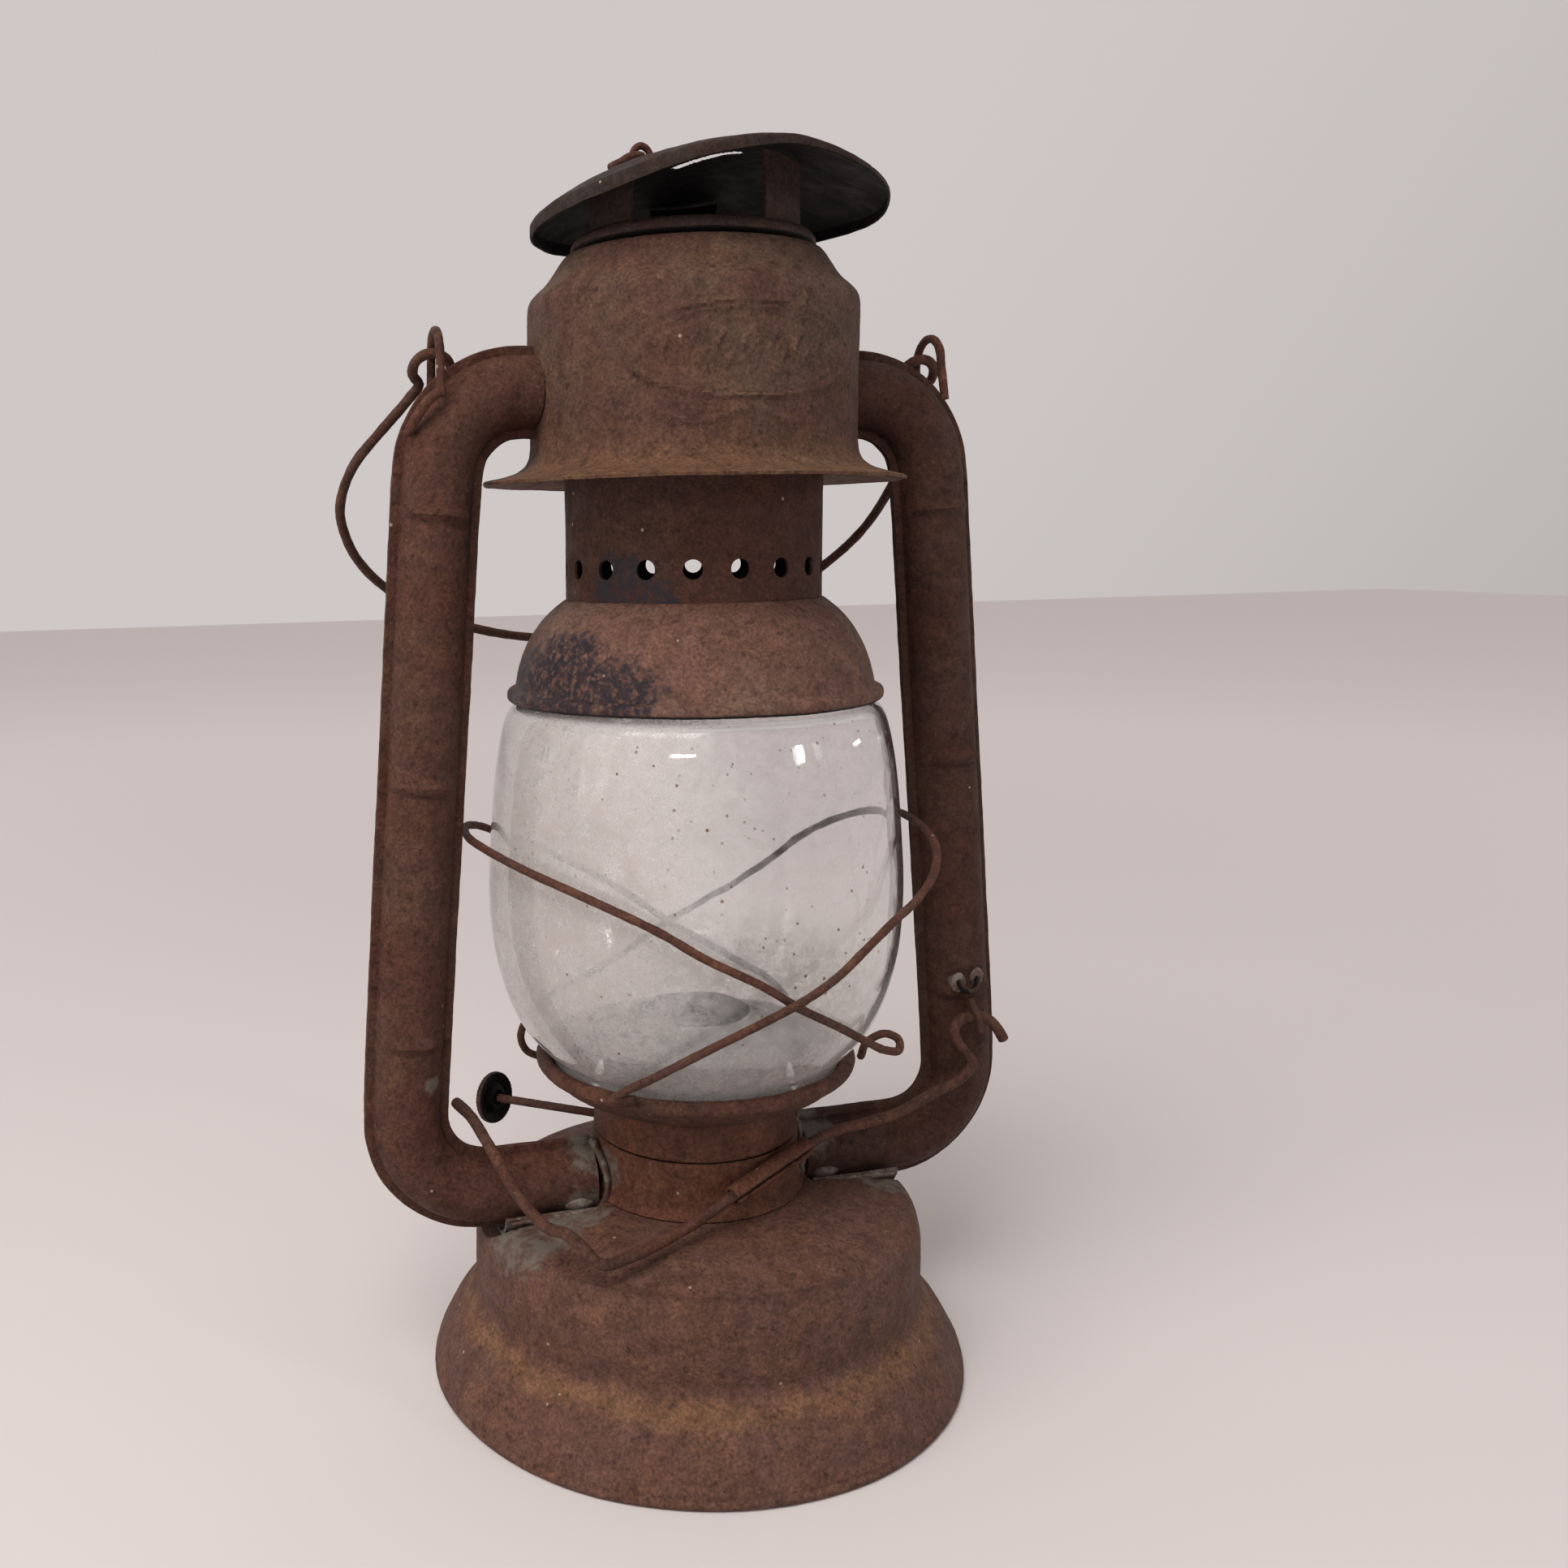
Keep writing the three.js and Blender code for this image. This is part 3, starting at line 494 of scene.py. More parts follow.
def make(name, form, body, look, replaces=(), grain=0.06, grain_size=2.0):
    """A piece from points in millimetres, with a little real roughness along its normals."""
    points, faces = form
    mesh = bpy.data.meshes.new(name)
    mesh.from_pydata([tuple(c * MM for c in p) for p in points], [], faces)
    work = bmesh.new()
    work.from_mesh(mesh)
    bmesh.ops.remove_doubles(work, verts=work.verts, dist=1e-6)
    bmesh.ops.recalc_face_normals(work, faces=work.faces)
    for vertex in work.verts:
        place = vertex.co / MM
        swell = lumps(place, grain_size, 3.1) + 0.5 * lumps(place, 0.9, 5.3)
        vertex.co += vertex.normal * grain * swell * MM
    for edge in work.edges:
        edge.smooth = len(edge.link_faces) != 2 or edge.calc_face_angle() < CREASE
    for face in work.faces:
        face.smooth = True
    work.to_mesh(mesh)
    work.free()
    piece = placed(name, mesh)
    mesh.materials.append(look)
    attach(piece, body)
    if replaces:
        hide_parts(*replaces)
    return piece


def moved(form, change):
    points, faces = form
    return [change(Vector(p)) for p in points], faces


def dented(form, depth, size, seed):
    """Pushes a form in and out by smooth noise, away from the Z axis and a little up and down."""
    def change(p):
        if off_axis(p) > 1:
            p = pushed(p, depth * lumps(p, size, seed))
        return p + 0.5 * depth * lumps(p, size, seed + 9) * UP
    return moved(form, change)


def spun(outline, step, sides, closed=True, passes=1):
    """An outline with softened corners, turned about the Z axis."""
    return lathe(fine(outline, step, closed, passes), around(sides), closed)


def turned(outline, step, sides, depth, size, seed):
    return dented(spun(outline, step, sides), depth, size, seed)


def ring(radius, sides, squash=1.0):
    return [(a, squash * b) for a, b in (on_circle(turn, radius) for turn in around(sides))]


def wire(name, points, radius, body, replaces=(), look=rust_wire, sides=12, step=0.9):
    """A round wire along a smooth route, a little swollen and eaten by rust."""
    route = through(points, step)

    def ring_at(i):
        return ring(radius * (1 + 0.07 * lumps(route[i], 3.5, 2) + 0.05 * lumps(route[i], 1.4, 7)), sides)
    return make(name, sweep(route, ring_at), body, look, replaces, 0.06, 1.3)


# ---- fount ----
SIDES = ((1, "right"), (-1, "left"))
BASE_R = 76.8
FOUNT_R = 64
DECK_Z = 53
RUN_Z = 57.4
SADDLE_R = 13.6
COLLAR_R = 29.5


def fount():
    outer = [(27, 53.2), (31, 53.1), (40, 52.9), (48.6, 52.2), (50.4, 51.9), (52, 50.9), (56, 50.2),
             (60, 48.2), (62.6, 45), (63.8, 40), (FOUNT_R, 32), (63.9, 24), (64.6, 20.8), (66.8, 18),
             (69.4, 15.4), (71.6, 12.6), (73.4, 9.4), (75, 6.2), (76.1, 4.2), (76.3, 3.5), (75.9, 3.1),
             (76.5, 2.6), (BASE_R, 1.6), (76.7, 0.4), (75.8, 0)]
    inner = [(BASE_R - 2.4, 0.6), (74.2, 3), (72.6, 8.2), (69.4, 13.4), (64.4, 17.8), (62.4, 22),
             (62.4, 32), (60.8, 45.6), (57.4, 49), (48, DECK_Z - 2.4), (27, DECK_Z - 1.2)]
    form = turned(outer + inner, 1.0, 300, 0.35, 34, 4)

    def change(p):
        radius = off_axis(p)
        # The bead where the wall meets the flared base.
        if p.z < 32 and radius > 60:
            p = pushed(p, bump(p.z, 20, 1.4) - 0.4 * bump(p.z, 25, 3))
        # The deck's edge is folded up along the front left.
        span = smoothstep(-150, -138, heading_of(p)) * smoothstep(-62, -72, heading_of(p))
        if span and p.z > 40 and radius > 55:
            fold = 0.95 * span * bump(math.hypot(radius - 61.3, p.z - 46.9), 0, 2.7)
            p = pushed(p, fold * (62.9 - radius))
            p.z += fold * (49.1 - p.z)
        # The deck sinks under each side tube, round its soldered tray.
        beyond = smoothstep(30.5, 33.5, abs(p.x))
        if abs(p.y) < SADDLE_R and beyond > 0 and p.z > 30:
            floor = RUN_Z - math.sqrt(SADDLE_R**2 - p.y**2)
            if p.z > floor:
                p.z += (floor - p.z) * beyond
        return p
    make("fount", moved(form, change), "frame", rust_base, ["fount_shell"], 0.07, 1.8)
    floor = [(0, 5), (46, 5), (50, 4.6), (58, 3.4), (66, 5.6), (70, 7.4), (70, 8.4), (65.6, 6.8),
             (58, 4.6), (50, 5.9), (46, 6.2), (0, 6.2)]
    make("fount_floor", dented(spun(floor, 3, 96, False, 2), 0.3, 20, 6), "frame", rust_dark,
         ["fount_bottom"])


def saddles():
    """The tinned trays that the tubes are soldered into."""
    stations = spread(32, 58.4, 22)
    angles = spread(202, 338, 28)
    for side, word in SIDES:
        points = []
        for x in stations:
            wavy = 0.1 * lumps((x * side, 3, 0), 5, side)
            for radius, order in ((13.2, angles), (12.2, angles[::-1])):
                arc = [on_circle(a, radius + wavy) for a in order]
                points += [Vector((x * side, y, RUN_Z + rise)) for y, rise in arc]
        form = points, capped_faces(len(stations), 2 * len(angles))
        make(f"saddle_{word}", form, "frame", solder, [f"tube_saddle_{word}"], 0.14, 2.5)


def milled(point, teeth, depth):
    scale = 1 + depth * math.cos(teeth * math.atan2(point.y, point.x))
    return Vector((point.x * scale, point.y * scale, point.z))


FILLER = Vector((6, 46.5, 0))


def filler():
    def at_filler(form):
        return moved(form, lambda p: p + FILLER)
    neck = spun([(8, 48.6), (8.9, 48.6), (8.9, 58.6), (8, 58.6)], 0.8, 64)
    make("filler_spout", at_filler(neck), "frame", solder, ["filler_neck"], 0.03)
    side = [(0, 60.4), (9.3, 60.4), (9.3, 53.8), (10.6, 53.5), (11.3, 53.9), (11.4, 61.2), (10.8, 62),
            (10.2, 62.3), (8.4, 62.2), (7.8, 62.6), (4, 63), (0, 63)]
    form = spun(side, 0.5, 180, False)

    def knurl(p):
        """Milled grip round the cap's side."""
        return milled(p, 36, 0.028) if off_axis(p) > 10.4 and 54.4 < p.z < 61.2 else p
    make("filler_lid", at_filler(moved(form, knurl)), "filler_cap", rust_collar, ["filler_cap"], 0.05, 1.4)
    seal = spun([(0, 58.9), (8.9, 58.9), (8.9, 60.1), (0, 60.1)], 0.6, 48, False)
    make("cork_seal", at_filler(seal), "filler_gasket", gasket_cork, ["filler_gasket"], 0.08, 1.2)


# ---- collar and burner ----
def collar():
    lower = [(31.4, 53.5), (30.6, 54.6), (29.9, 56), (29.4, 60), (29.2, 69), (28.8, 69.2), (28.1, 69.2),
             (28.4, 56), (29.4, 53.5)]
    form = turned(lower, 0.8, 220, 0.2, 22, 3)
    make("air_drum", form, "frame", rust_collar, ["air_chamber"], 0.08, 1.5)
    upper = [(28.9, 69.5), (29.2, 70.2), (28.9, 71), (28.8, 78.2), (28.4, 79.6), (27.6, 80), (25.6, 80),
             (25.4, 78.9), (27.6, 78.7), (27.8, 69.5)]
    form = turned(upper, 0.7, 200, 0.15, 22, 5)
    make("collar_band", form, "frame", rust_collar, ["burner_collar"], 0.08, 1.5)


CONE_SLOTS = 16


def burner():
    cone = [(25, 80.3), (26, 80.3), (26.9, 85), (27.8, 92), (27.7, 96.2), (27, 97.3), (24, 97.9),
            (20, 98.8), (17.6, 100.6), (16.2, 103.4), (15.4, 103.4), (16.8, 99.8), (19.4, 98),
            (26.2, 96.3), (26.8, 92), (26, 85)]
    form = spun(cone, 0.7, 256)

    def slots(p):
        """Pressed air slots round the cone's wall, and flutes over its deck."""
        wave = 0.5 + 0.5 * math.cos(CONE_SLOTS * math.atan2(p.y, p.x))
        if p.z < 96:
            return pushed(p, -0.5 * bump(p.z, 88, 4) * smoothstep(0.4, 0.8, wave))
        return p - 0.35 * bump(off_axis(p), 23, 2.4) * smoothstep(0.3, 0.8, wave) * UP
    make("cone", moved(form, slots), "frame", tin, ["burner_cone"], 0.04)
    # These keep their CAD shape and only get a material.
    for node, look in (("burner_body", brass), ("wick_tube", brass), ("wick", cotton)):
        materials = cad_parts[node].data.materials
        materials.clear()
        materials.append(look)


SHAFT_HEADING = 130
SHAFT_Z = 67.2
SHAFT_DROP = 0.09
KNOB_AT = 74


def shaft_point(distance):
    return polar(SHAFT_HEADING, distance, SHAFT_Z - SHAFT_DROP * distance)


def wick_raiser():
    wire("shaft", [shaft_point(d) for d in (6.2, 25, 50, 72.1)], 1.25, "wick_raiser", ["wick_shaft"])
    outline = [(0, -0.3), (2.2, -0.3), (2.4, -1.6), (3.6, -1.6), (4.2, -0.3), (4.8, 0.1), (7, -0.9),
               (7.7, -1.2), (8, -0.6), (8, 0.9), (7.4, 1.5), (6.6, 1.5), (6.2, 0.9), (4.2, 1), (3.6, 1.7),
               (1.6, 1.9), (0, 1.9)]
    form = spun(outline, 0.35, 160, False)
    outward = (shaft_point(1) - shaft_point(0)).normalized()
    turn = UP.rotation_difference(outward).to_matrix()
    form = moved(form, lambda p: milled(p, 40, 0.012) if off_axis(p) > 7.2 else p)
    place = moved(form, lambda p: turn @ p + shaft_point(KNOB_AT))
    make("knob", place, "wick_raiser", rust_dark, ["wick_knob"], 0.05, 1.2)


# ---- side tubes ----
HOOD_R = 43.3
TUBE_R = 9.3
SHEET = 0.8
FLANGE = 2.3
BEND_R = 22
RIBS = (242.5, 172.5, 103.5)
SEAM = 0.15


def tube_route():
    """The right tube's middle line, from the hood down to the air drum."""
    top_bend = Vector((47, 0, 251))
    foot_bend = Vector((61.2, 0, 79.6))

    def bend(centre, start, end):
        arc = [on_circle(a, BEND_R) for a in spread(start, end, 8)]
        return [centre + Vector((x, 0, z)) for x, z in arc]
    return through([Vector((HOOD_R + 0.6, 0, 273)), *bend(top_bend, 90, 5), Vector((73.6, 0, 198)),
                    Vector((78.4, 0, 142)), *bend(foot_bend, 5, -90), Vector((44, 0, RUN_Z)),
                    Vector((COLLAR_R + 1.8, 0, RUN_Z))], 0.9)


def half_tube(name, side, face, look):
    """One stamped half of a side tube, with its seam flanges and embossed ribs.

    side is 1 for the right tube and -1 for the left. face is 1 for the front half and -1 for the rear.
    """
    route = tube_route()
    arc = spread(0, 180, 26)

    def ring_at(i):
        centre = route[i]
        rib = 0
        if centre.x > 60:
            rib = sum(bump(centre.z, z, 1.0) - 0.45 * bump(centre.z, z - 2.3, 0.9) for z in RIBS)
        outside = []
        for angle in arc:
            crown = smoothstep(0.45, 0.8, math.sin(math.radians(angle)))
            across, rise = on_circle(angle, TUBE_R + 1.35 * rib * crown)
            outside.append((across, max(rise, SHEET) + SEAM))
        bore = [on_circle(angle, TUBE_R - SHEET) for angle in reversed(arc)]
        inside = [(across, max(rise, 0) + SEAM) for across, rise in bore]
        edge = TUBE_R + FLANGE + 0.12 * lumps(centre, 6, 4)
        flange = [(edge, SEAM), (edge + 0.05, SEAM + 0.4), (edge - 0.15, SHEET + SEAM),
                  (TUBE_R + 0.9, SHEET + SEAM)]
        tail = [(-a, d) for a, d in reversed(flange)]
        return [*flange, *outside, *tail, *inside]
    points, faces = sweep(route, ring_at, Vector((0, -1, 0)))
    columns = len(points) // len(route)

    def shape(centre, p):
        """The top end follows the round hood."""
        share = smoothstep(12, 0, (centre - route[0]).length)
        if centre.z > 260 and abs(p.y) < HOOD_R:
            p.x += share * (math.sqrt(HOOD_R**2 - p.y**2) + 0.25 - route[0].x)
        p = Vector((side * p.x, face * p.y, p.z))
        return p + 0.3 * lumps(p, 24, 8) * Vector((0.5, 0.6, 0))
    points = [shape(route[i // columns], p) for i, p in enumerate(points)]
    make(f"half_{name}", (points, faces), "frame", look, [name], 0.06, 1.7)


def side_tubes():
    for (side, word), look in zip(SIDES, (rust_tube_right, rust_tube_left)):
        half_tube(f"tube_{word}_front", side, 1, look)
        half_tube(f"tube_{word}_rear", side, -1, look)


# ---- hood ----
BADGE_Z = 279.5
BADGE_HALF = (31, 11)


def badge_relief(across, height):
    """Height of the hood's worn pressed ornament: an oval border round a row of lozenges."""
    wide, tall = BADGE_HALF
    oval = math.hypot(across / wide, height / tall)
    border = bump(oval, 1, 0.055) + 0.6 * bump(oval, 0.86, 0.04)
    marks = 0
    for k in range(-3, 4):
        size = 3.6 - 0.35 * abs(k)
        lozenge = abs(across - 6.6 * k) / (0.75 * size) + abs(height) / (1.35 * size)
        marks = max(marks, bump(lozenge, 1, 0.2), 0.7 * bump(lozenge, 0, 0.35))
    curl = 0.8 * bump(height, -15.4 + 1.4 * math.cos(across / 4.2), 0.6) * bump(across, 0, 17)
    return max(border, marks, curl)


def hood():
    outer = [(31.3, 307.4), (32.2, 307.7), (33.4, 307.4), (34.6, 306), (36, 303.9), (37.4, 301.8),
             (39.1, 299.7), (41.6, 297.6), (42.7, 296.4), (43.2, 295), (HOOD_R, 293), (HOOD_R, 259.5),
             (43.6, 256.9), (44.7, 254.7), (47.2, 252.9), (50.5, 251.8), (53.5, 251.1), (55.4, 250.8),
             (56.2, 250.4)]
    fine_front = spread(FRONT - 52, FRONT + 51.5, 138)
    rest = spread(FRONT + 53.5, FRONT + 305.5, 126)
    form = lathe(fine(shell(fine(outer, 0.7, False, 2), SHEET), 0.75, passes=0), fine_front + rest)

    def change(p):
        radius = off_axis(p)
        around_front = (heading_of(p) - FRONT + 180) % 360 - 180
        push = 0.4 * lumps(p, 30, 12) + 0.15 * lumps(p, 9, 14)
        if 262 < p.z < 296:
            worn = 0.7 + 0.45 * lumps(p, 9, 16)
            push += 0.95 * worn * badge_relief(math.radians(around_front) * radius, p.z - BADGE_Z)
        if radius > 52:
            push -= 0.5 * abs(lumps(p, 2.6, 18)) * smoothstep(54, 56, radius)
        p = pushed(p, push)
        p.z += 0.5 * smoothstep(48, 56, radius) * lumps(p, 18, 20)
        return p
    make("hood_skin", moved(form, change), "frame", rust_hood, ["hood"], 0.07, 1.6)


def hood_spring():
    """The hidden coil that presses the chimney down."""
    route = [polar(360 * turn, 32.9, 265.6 + 9.15 * turn) for turn in spread(0, 4, 64)]
    coil = wire("spring", route, 0.7, "frame", ["hood_spring"], solder, 8)
    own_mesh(coil)


# ---- chimney, dome and cap ----
CHIMNEY_R = 34.4
NECK_R = 29.4
HOLES = 18
HOLE_R = 2.5
HOLE_Z = 227.7
HOLE_START = 10.8
PATCH = 8
FOOT_Z = 218.6
TOP_Z = 305.6


def chimney():
    """The perforated tube. Round each hole the wall's grid closes in from a square to a circle."""
    half_width = math.pi * CHIMNEY_R / HOLES
    half_height = 5.6
    columns = HOLES * PATCH
    points = []
    faces = []

    def add(more, rows, row_length):
        """Adds a grid of points that closes on itself along its rows. Returns its first index."""
        start = len(points)
        points.extend(more)
        faces.extend(tuple(start + v for v in quad) for quad in grid_faces(rows, row_length, False, True))
        return start

    def circle(z, radius):
        return [polar(HOLE_START + 360 * (k - PATCH / 2) / columns, radius, z) for k in range(columns)]

    def wall(radius_at, heights):
        add([p for z in heights for p in circle(z, radius_at(z))], len(heights), columns)

    side = [-1 + 2 * k / PATCH for k in range(PATCH)]
    square = [*((a, -1) for a in side), *((1, b) for b in side), *((-a, 1) for a in side),
              *((-1, -b) for b in side)]
    levels = [0, 0.35, 0.65, 0.88, 1]

    def hole(number, radius):
        """One square patch with a round hole. Returns the indices round the hole's edge."""
        patch = []
        for level in levels:
            for a, b in square:
                edge_across, edge_up = on_circle(math.degrees(math.atan2(b, a)), HOLE_R)
                across = (1 - level) * a * half_width + level * edge_across
                up = (1 - level) * b * half_height + level * edge_up
                turn = 360 * number / HOLES + math.degrees(across / CHIMNEY_R)
                patch.append(polar(HOLE_START + turn, radius, HOLE_Z + up))
        start = add(patch, len(levels), len(square))
        return [start + len(patch) - len(square) + k for k in range(len(square))]

    def outer_at(z):
        return NECK_R + (CHIMNEY_R - NECK_R) * smoothstep(258, 254.5, z)

    def inner_at(z):
        return outer_at(z) - SHEET
    below = spread(FOOT_Z, HOLE_Z - half_height, 3)
    above = [*spread(HOLE_Z + half_height, HOLE_Z + half_height + 71.3, 62), TOP_Z]
    for radius_at in (outer_at, inner_at):
        wall(radius_at, below)
        wall(radius_at, above)
    for number in range(HOLES):
        outside = hole(number, CHIMNEY_R)
        inside = hole(number, CHIMNEY_R - SHEET)
        count = len(square)
        faces.extend((outside[k], outside[(k + 1) % count], inside[(k + 1) % count], inside[k])
                     for k in range(count))
    for z in (FOOT_Z, TOP_Z):
        add(circle(z, outer_at(z)) + circle(z, inner_at(z)), 2, columns)

    def change(p):
        return pushed(p, 0.25 * lumps(p, 26, 22) * smoothstep(252, 242, p.z))
    make("chimney_wall", moved((points, faces), change), "chimney", rust_chimney,
         ["chimney_tube", "chimney_neck"], 0.05, 1.8)


def dome():
    outside = curved([(34.6, 219.6), (36.4, 218.2), (39.6, 215.4), (43, 211.2), (45.9, 205.9), (47.9, 200),
                      (48.6, 196.6)], 0.9)
    bead = [(49.2, 195.9), (50.4, 195.7), (51.1, 194.8), (51.1, 193.2), (50.4, 192.4), (49, 192.2)]
    inner = [(48, 192.4), (47.9, 195), (46.8, 200), (44.9, 205.4), (41.6, 211.1), (37.6, 215.3),
             (33.5, 218), (33.4, 219)]
    form = turned(outside + bead + inner, 0.9, 260, 0.35, 24, 24)
    make("dome_skin", form, "chimney", rust_dome, ["dome"], 0.08, 1.7)
    neck = [(29.6, 306), (29.8, 308), (31, 308.5), (31.8, 309.4), (31.5, 310.7), (30.4, 311.8),
            (29.4, 312.3), (28.8, 312), (28.8, 306)]
    form = turned(neck, 0.6, 180, 0.3, 20, 26)
    make("neck_bead", form, "chimney", rust_dark, ["neck_ring"], 0.07, 1.6)


CAP_R = 46.3
CAP_CENTRE = Vector((3.8, -1.3, 0))
CAP_TOP_Z = 331.5


def swell(heading, middle, width):
    """A smooth bump round the cap, at the heading middle."""
    return bump((heading - middle + 180) % 360 - 180, 0, width)


def cap_edge(heading):
    """Height of the cap's lower edge: the front has been bent upwards."""
    return 314.5 + 2.1 * math.cos(math.radians(heading)) + 9.5 * swell(heading, -88, 51)


def cap_top(heading, radius):
    """Height of the cap's upper skin. Its turned-down rim is flattened at the front right."""
    rim = cap_edge(heading) + 3.2 - 2 * swell(heading, -50, 45)
    return CAP_TOP_Z + (rim - CAP_TOP_Z) * min(radius / CAP_R, 1) ** 2.2


TEAR = [(-3.5, 2), (-1.1, -2), (1.5, -7), (3.5, -10.4), (5.8, -12.9), (7.4, -13.6)]
TEAR_HALF = 1.25
# How far the torn edge of the upper skin lies from the lower one's.
TEAR_SLANT = Vector((1.2, 3.2, 0))


def in_tear(point):
    """Whether a point of the cap lies in the narrow tear across its crown."""
    for start, end in zip(TEAR, TEAR[1:]):
        a, b = Vector((*start, 0)), Vector((*end, 0))
        flat = Vector((point.x, point.y, 0))
        share = min(max((flat - a).dot(b - a) / (b - a).length_squared, 0), 1)
        if (flat - a - (b - a) * share).length < TEAR_HALF:
            return True
    return False


def rain_cap():
    """A shallow domed disc with a turned-down rim, bent out of true."""
    radii = [0.8 * k for k in range(56)] + [45.2, 45.8]
    headings = around(240)
    points = []
    for turn in headings:
        edge = cap_edge(turn)
        lip = cap_top(turn, radii[-1])
        drop = lip - edge
        profile = [(r, cap_top(turn, r)) for r in radii]
        profile += [(CAP_R - 0.1, lip - 0.15 * drop), (CAP_R, lip - 0.35 * drop), (CAP_R, lip - 0.6 * drop),
                    (CAP_R, lip - 0.8 * drop), (CAP_R - 0.1, edge + 0.05), (CAP_R - 0.4, edge - 0.05),
                    (CAP_R - 0.7, edge + 0.05)]
        profile += [(r, min(cap_top(turn, r), lip) - 0.6) for r in (45.5, 44.9)]
        profile += [(r, cap_top(turn, r) - SHEET) for r in reversed(radii[:-2])]
        points += [polar(turn, r, z) + CAP_CENTRE for r, z in profile]
    columns = len(points) // len(headings)

    def kept(face):
        middle = sum((points[v] for v in face), Vector()) / len(face)
        on_top = face[0] % columns < len(radii)
        return not in_tear(middle - TEAR_SLANT if on_top else middle)
    faces = [face for face in grid_faces(len(headings), columns, True, False) if kept(face)]

    def change(p):
        return p + (0.45 * lumps(p, 17, 28) + 0.2 * lumps(p, 7, 30)) * UP
    make("cap_skin", moved((points, faces), change), "chimney", rust_cap, ["rain_cap"], 0.07, 1.8)


STRAP_R = 28.3
STRAP_WIDTH = 40


def cap_straps():
    for number, middle in enumerate((202, 308, 76), 1):
        columns = spread(-STRAP_WIDTH / 2, STRAP_WIDTH / 2, 16)
        points = []
        for share in spread(0, 1, 20):
            waist = 1 - 0.14 * math.sin(math.pi * share)
            for radius, order in ((STRAP_R, columns), (STRAP_R - SHEET, columns[::-1])):
                for turn in order:
                    from_cap = polar(middle + turn, radius, 0) - CAP_CENTRE
                    top = cap_top(heading_of(from_cap), from_cap.length) - 1.5
                    points.append(polar(middle + turn * waist, radius, 306.5 + (top - 306.5) * share))
        form = points, capped_faces(21, 2 * len(columns))
        make(f"strap_{number}", dented(form, 0.3, 12, 32), "chimney", rust_dark, [f"cap_strap_{number}"],
             0.06, 1.6)


RING_HINGE = Vector((-13, 2.2, 332.5))
RING_R = 4.2


def lift_ring():
    x, y, z = RING_HINGE
    wire("ring_staple", [(x + 2.6, y - 0.4, 330.9), (x + 1.9, y, z + 1.4), (x, y, z + 2.5),
                         (x - 1.9, y, z + 1.4), (x - 2.6, y + 0.4, 329.9)], 0.9, "chimney",
         ["ring_lug"], step=0.4)
    tilt = Matrix.Rotation(math.radians(-20), 3, "Y")
    centre = RING_HINGE - tilt @ Vector((RING_R, 0, 0))
    path = []
    for turn in map(math.radians, range(0, 360, 8)):
        radius = RING_R * (1 + 0.04 * math.sin(2 * turn))
        path.append(centre + tilt @ polar(math.degrees(turn), radius, 0.2 * math.sin(3 * turn)))
    points = []
    up = tilt @ UP
    for middle in path:
        out = (middle - centre).normalized()
        thick = 1.1 * (1 + 0.14 * lumps(middle, 2.4, 4))
        points += [middle + out * a + up * b for a, b in ring(thick, 12)]
    form = points, grid_faces(len(path), 12, True, True)
    make("ring", form, "lift_ring", rust_wire, ["lift_ring"], 0.08, 1.2)


# ---- globe and its carrier ----
def globe():
    wall = curved([(47.2, 192), (49.4, 191.2), (51.3, 188.6), (54, 178), (56.4, 157), (57.3, 138),
                   (55.6, 120), (50.6, 104.6), (45.4, 97.2), (42.6, 94.4)], 1.3)
    outer = [(43.2, 199.6), (45.6, 198.8), (46.4, 197), *wall, (41.4, 93.4), (41.5, 92.4), (40.7, 91.6),
             (40.8, 90.6), (40, 89.8), (40.1, 88.8), (39.5, 88), (39.5, 85.5)]
    form = spun(shell(outer, 2), 1.2, 240, passes=2)
    make("globe_glass", dented(form, 0.25, 38, 34), "globe_carrier", glass, ["globe"], 0)


PLATE_R = 43.2
PLATE_Z = 90.6
GUARD_R = 1.1


def globe_plate():
    curl = [on_circle(turn, 2) for turn in range(-110, 150, 20)]
    rim = [(PLATE_R + a, PLATE_Z + 1.1 * b) for a, b in curl]
    outline = [(29.4, 82), (30.4, 81.4), (33, 81.8), (36, 83), (39, 84.6), (41.2, 86.4), *rim,
               (41, 90.2), (40.8, 88), (40, 85.6), (35.6, 84.2), (30.4, 83.2), (29.4, 83.2)]
    form = turned(outline, 0.6, 240, 0.25, 20, 36)
    make("plate", form, "globe_carrier", rust_wire, ["globe_plate"], 0.1, 1.6)


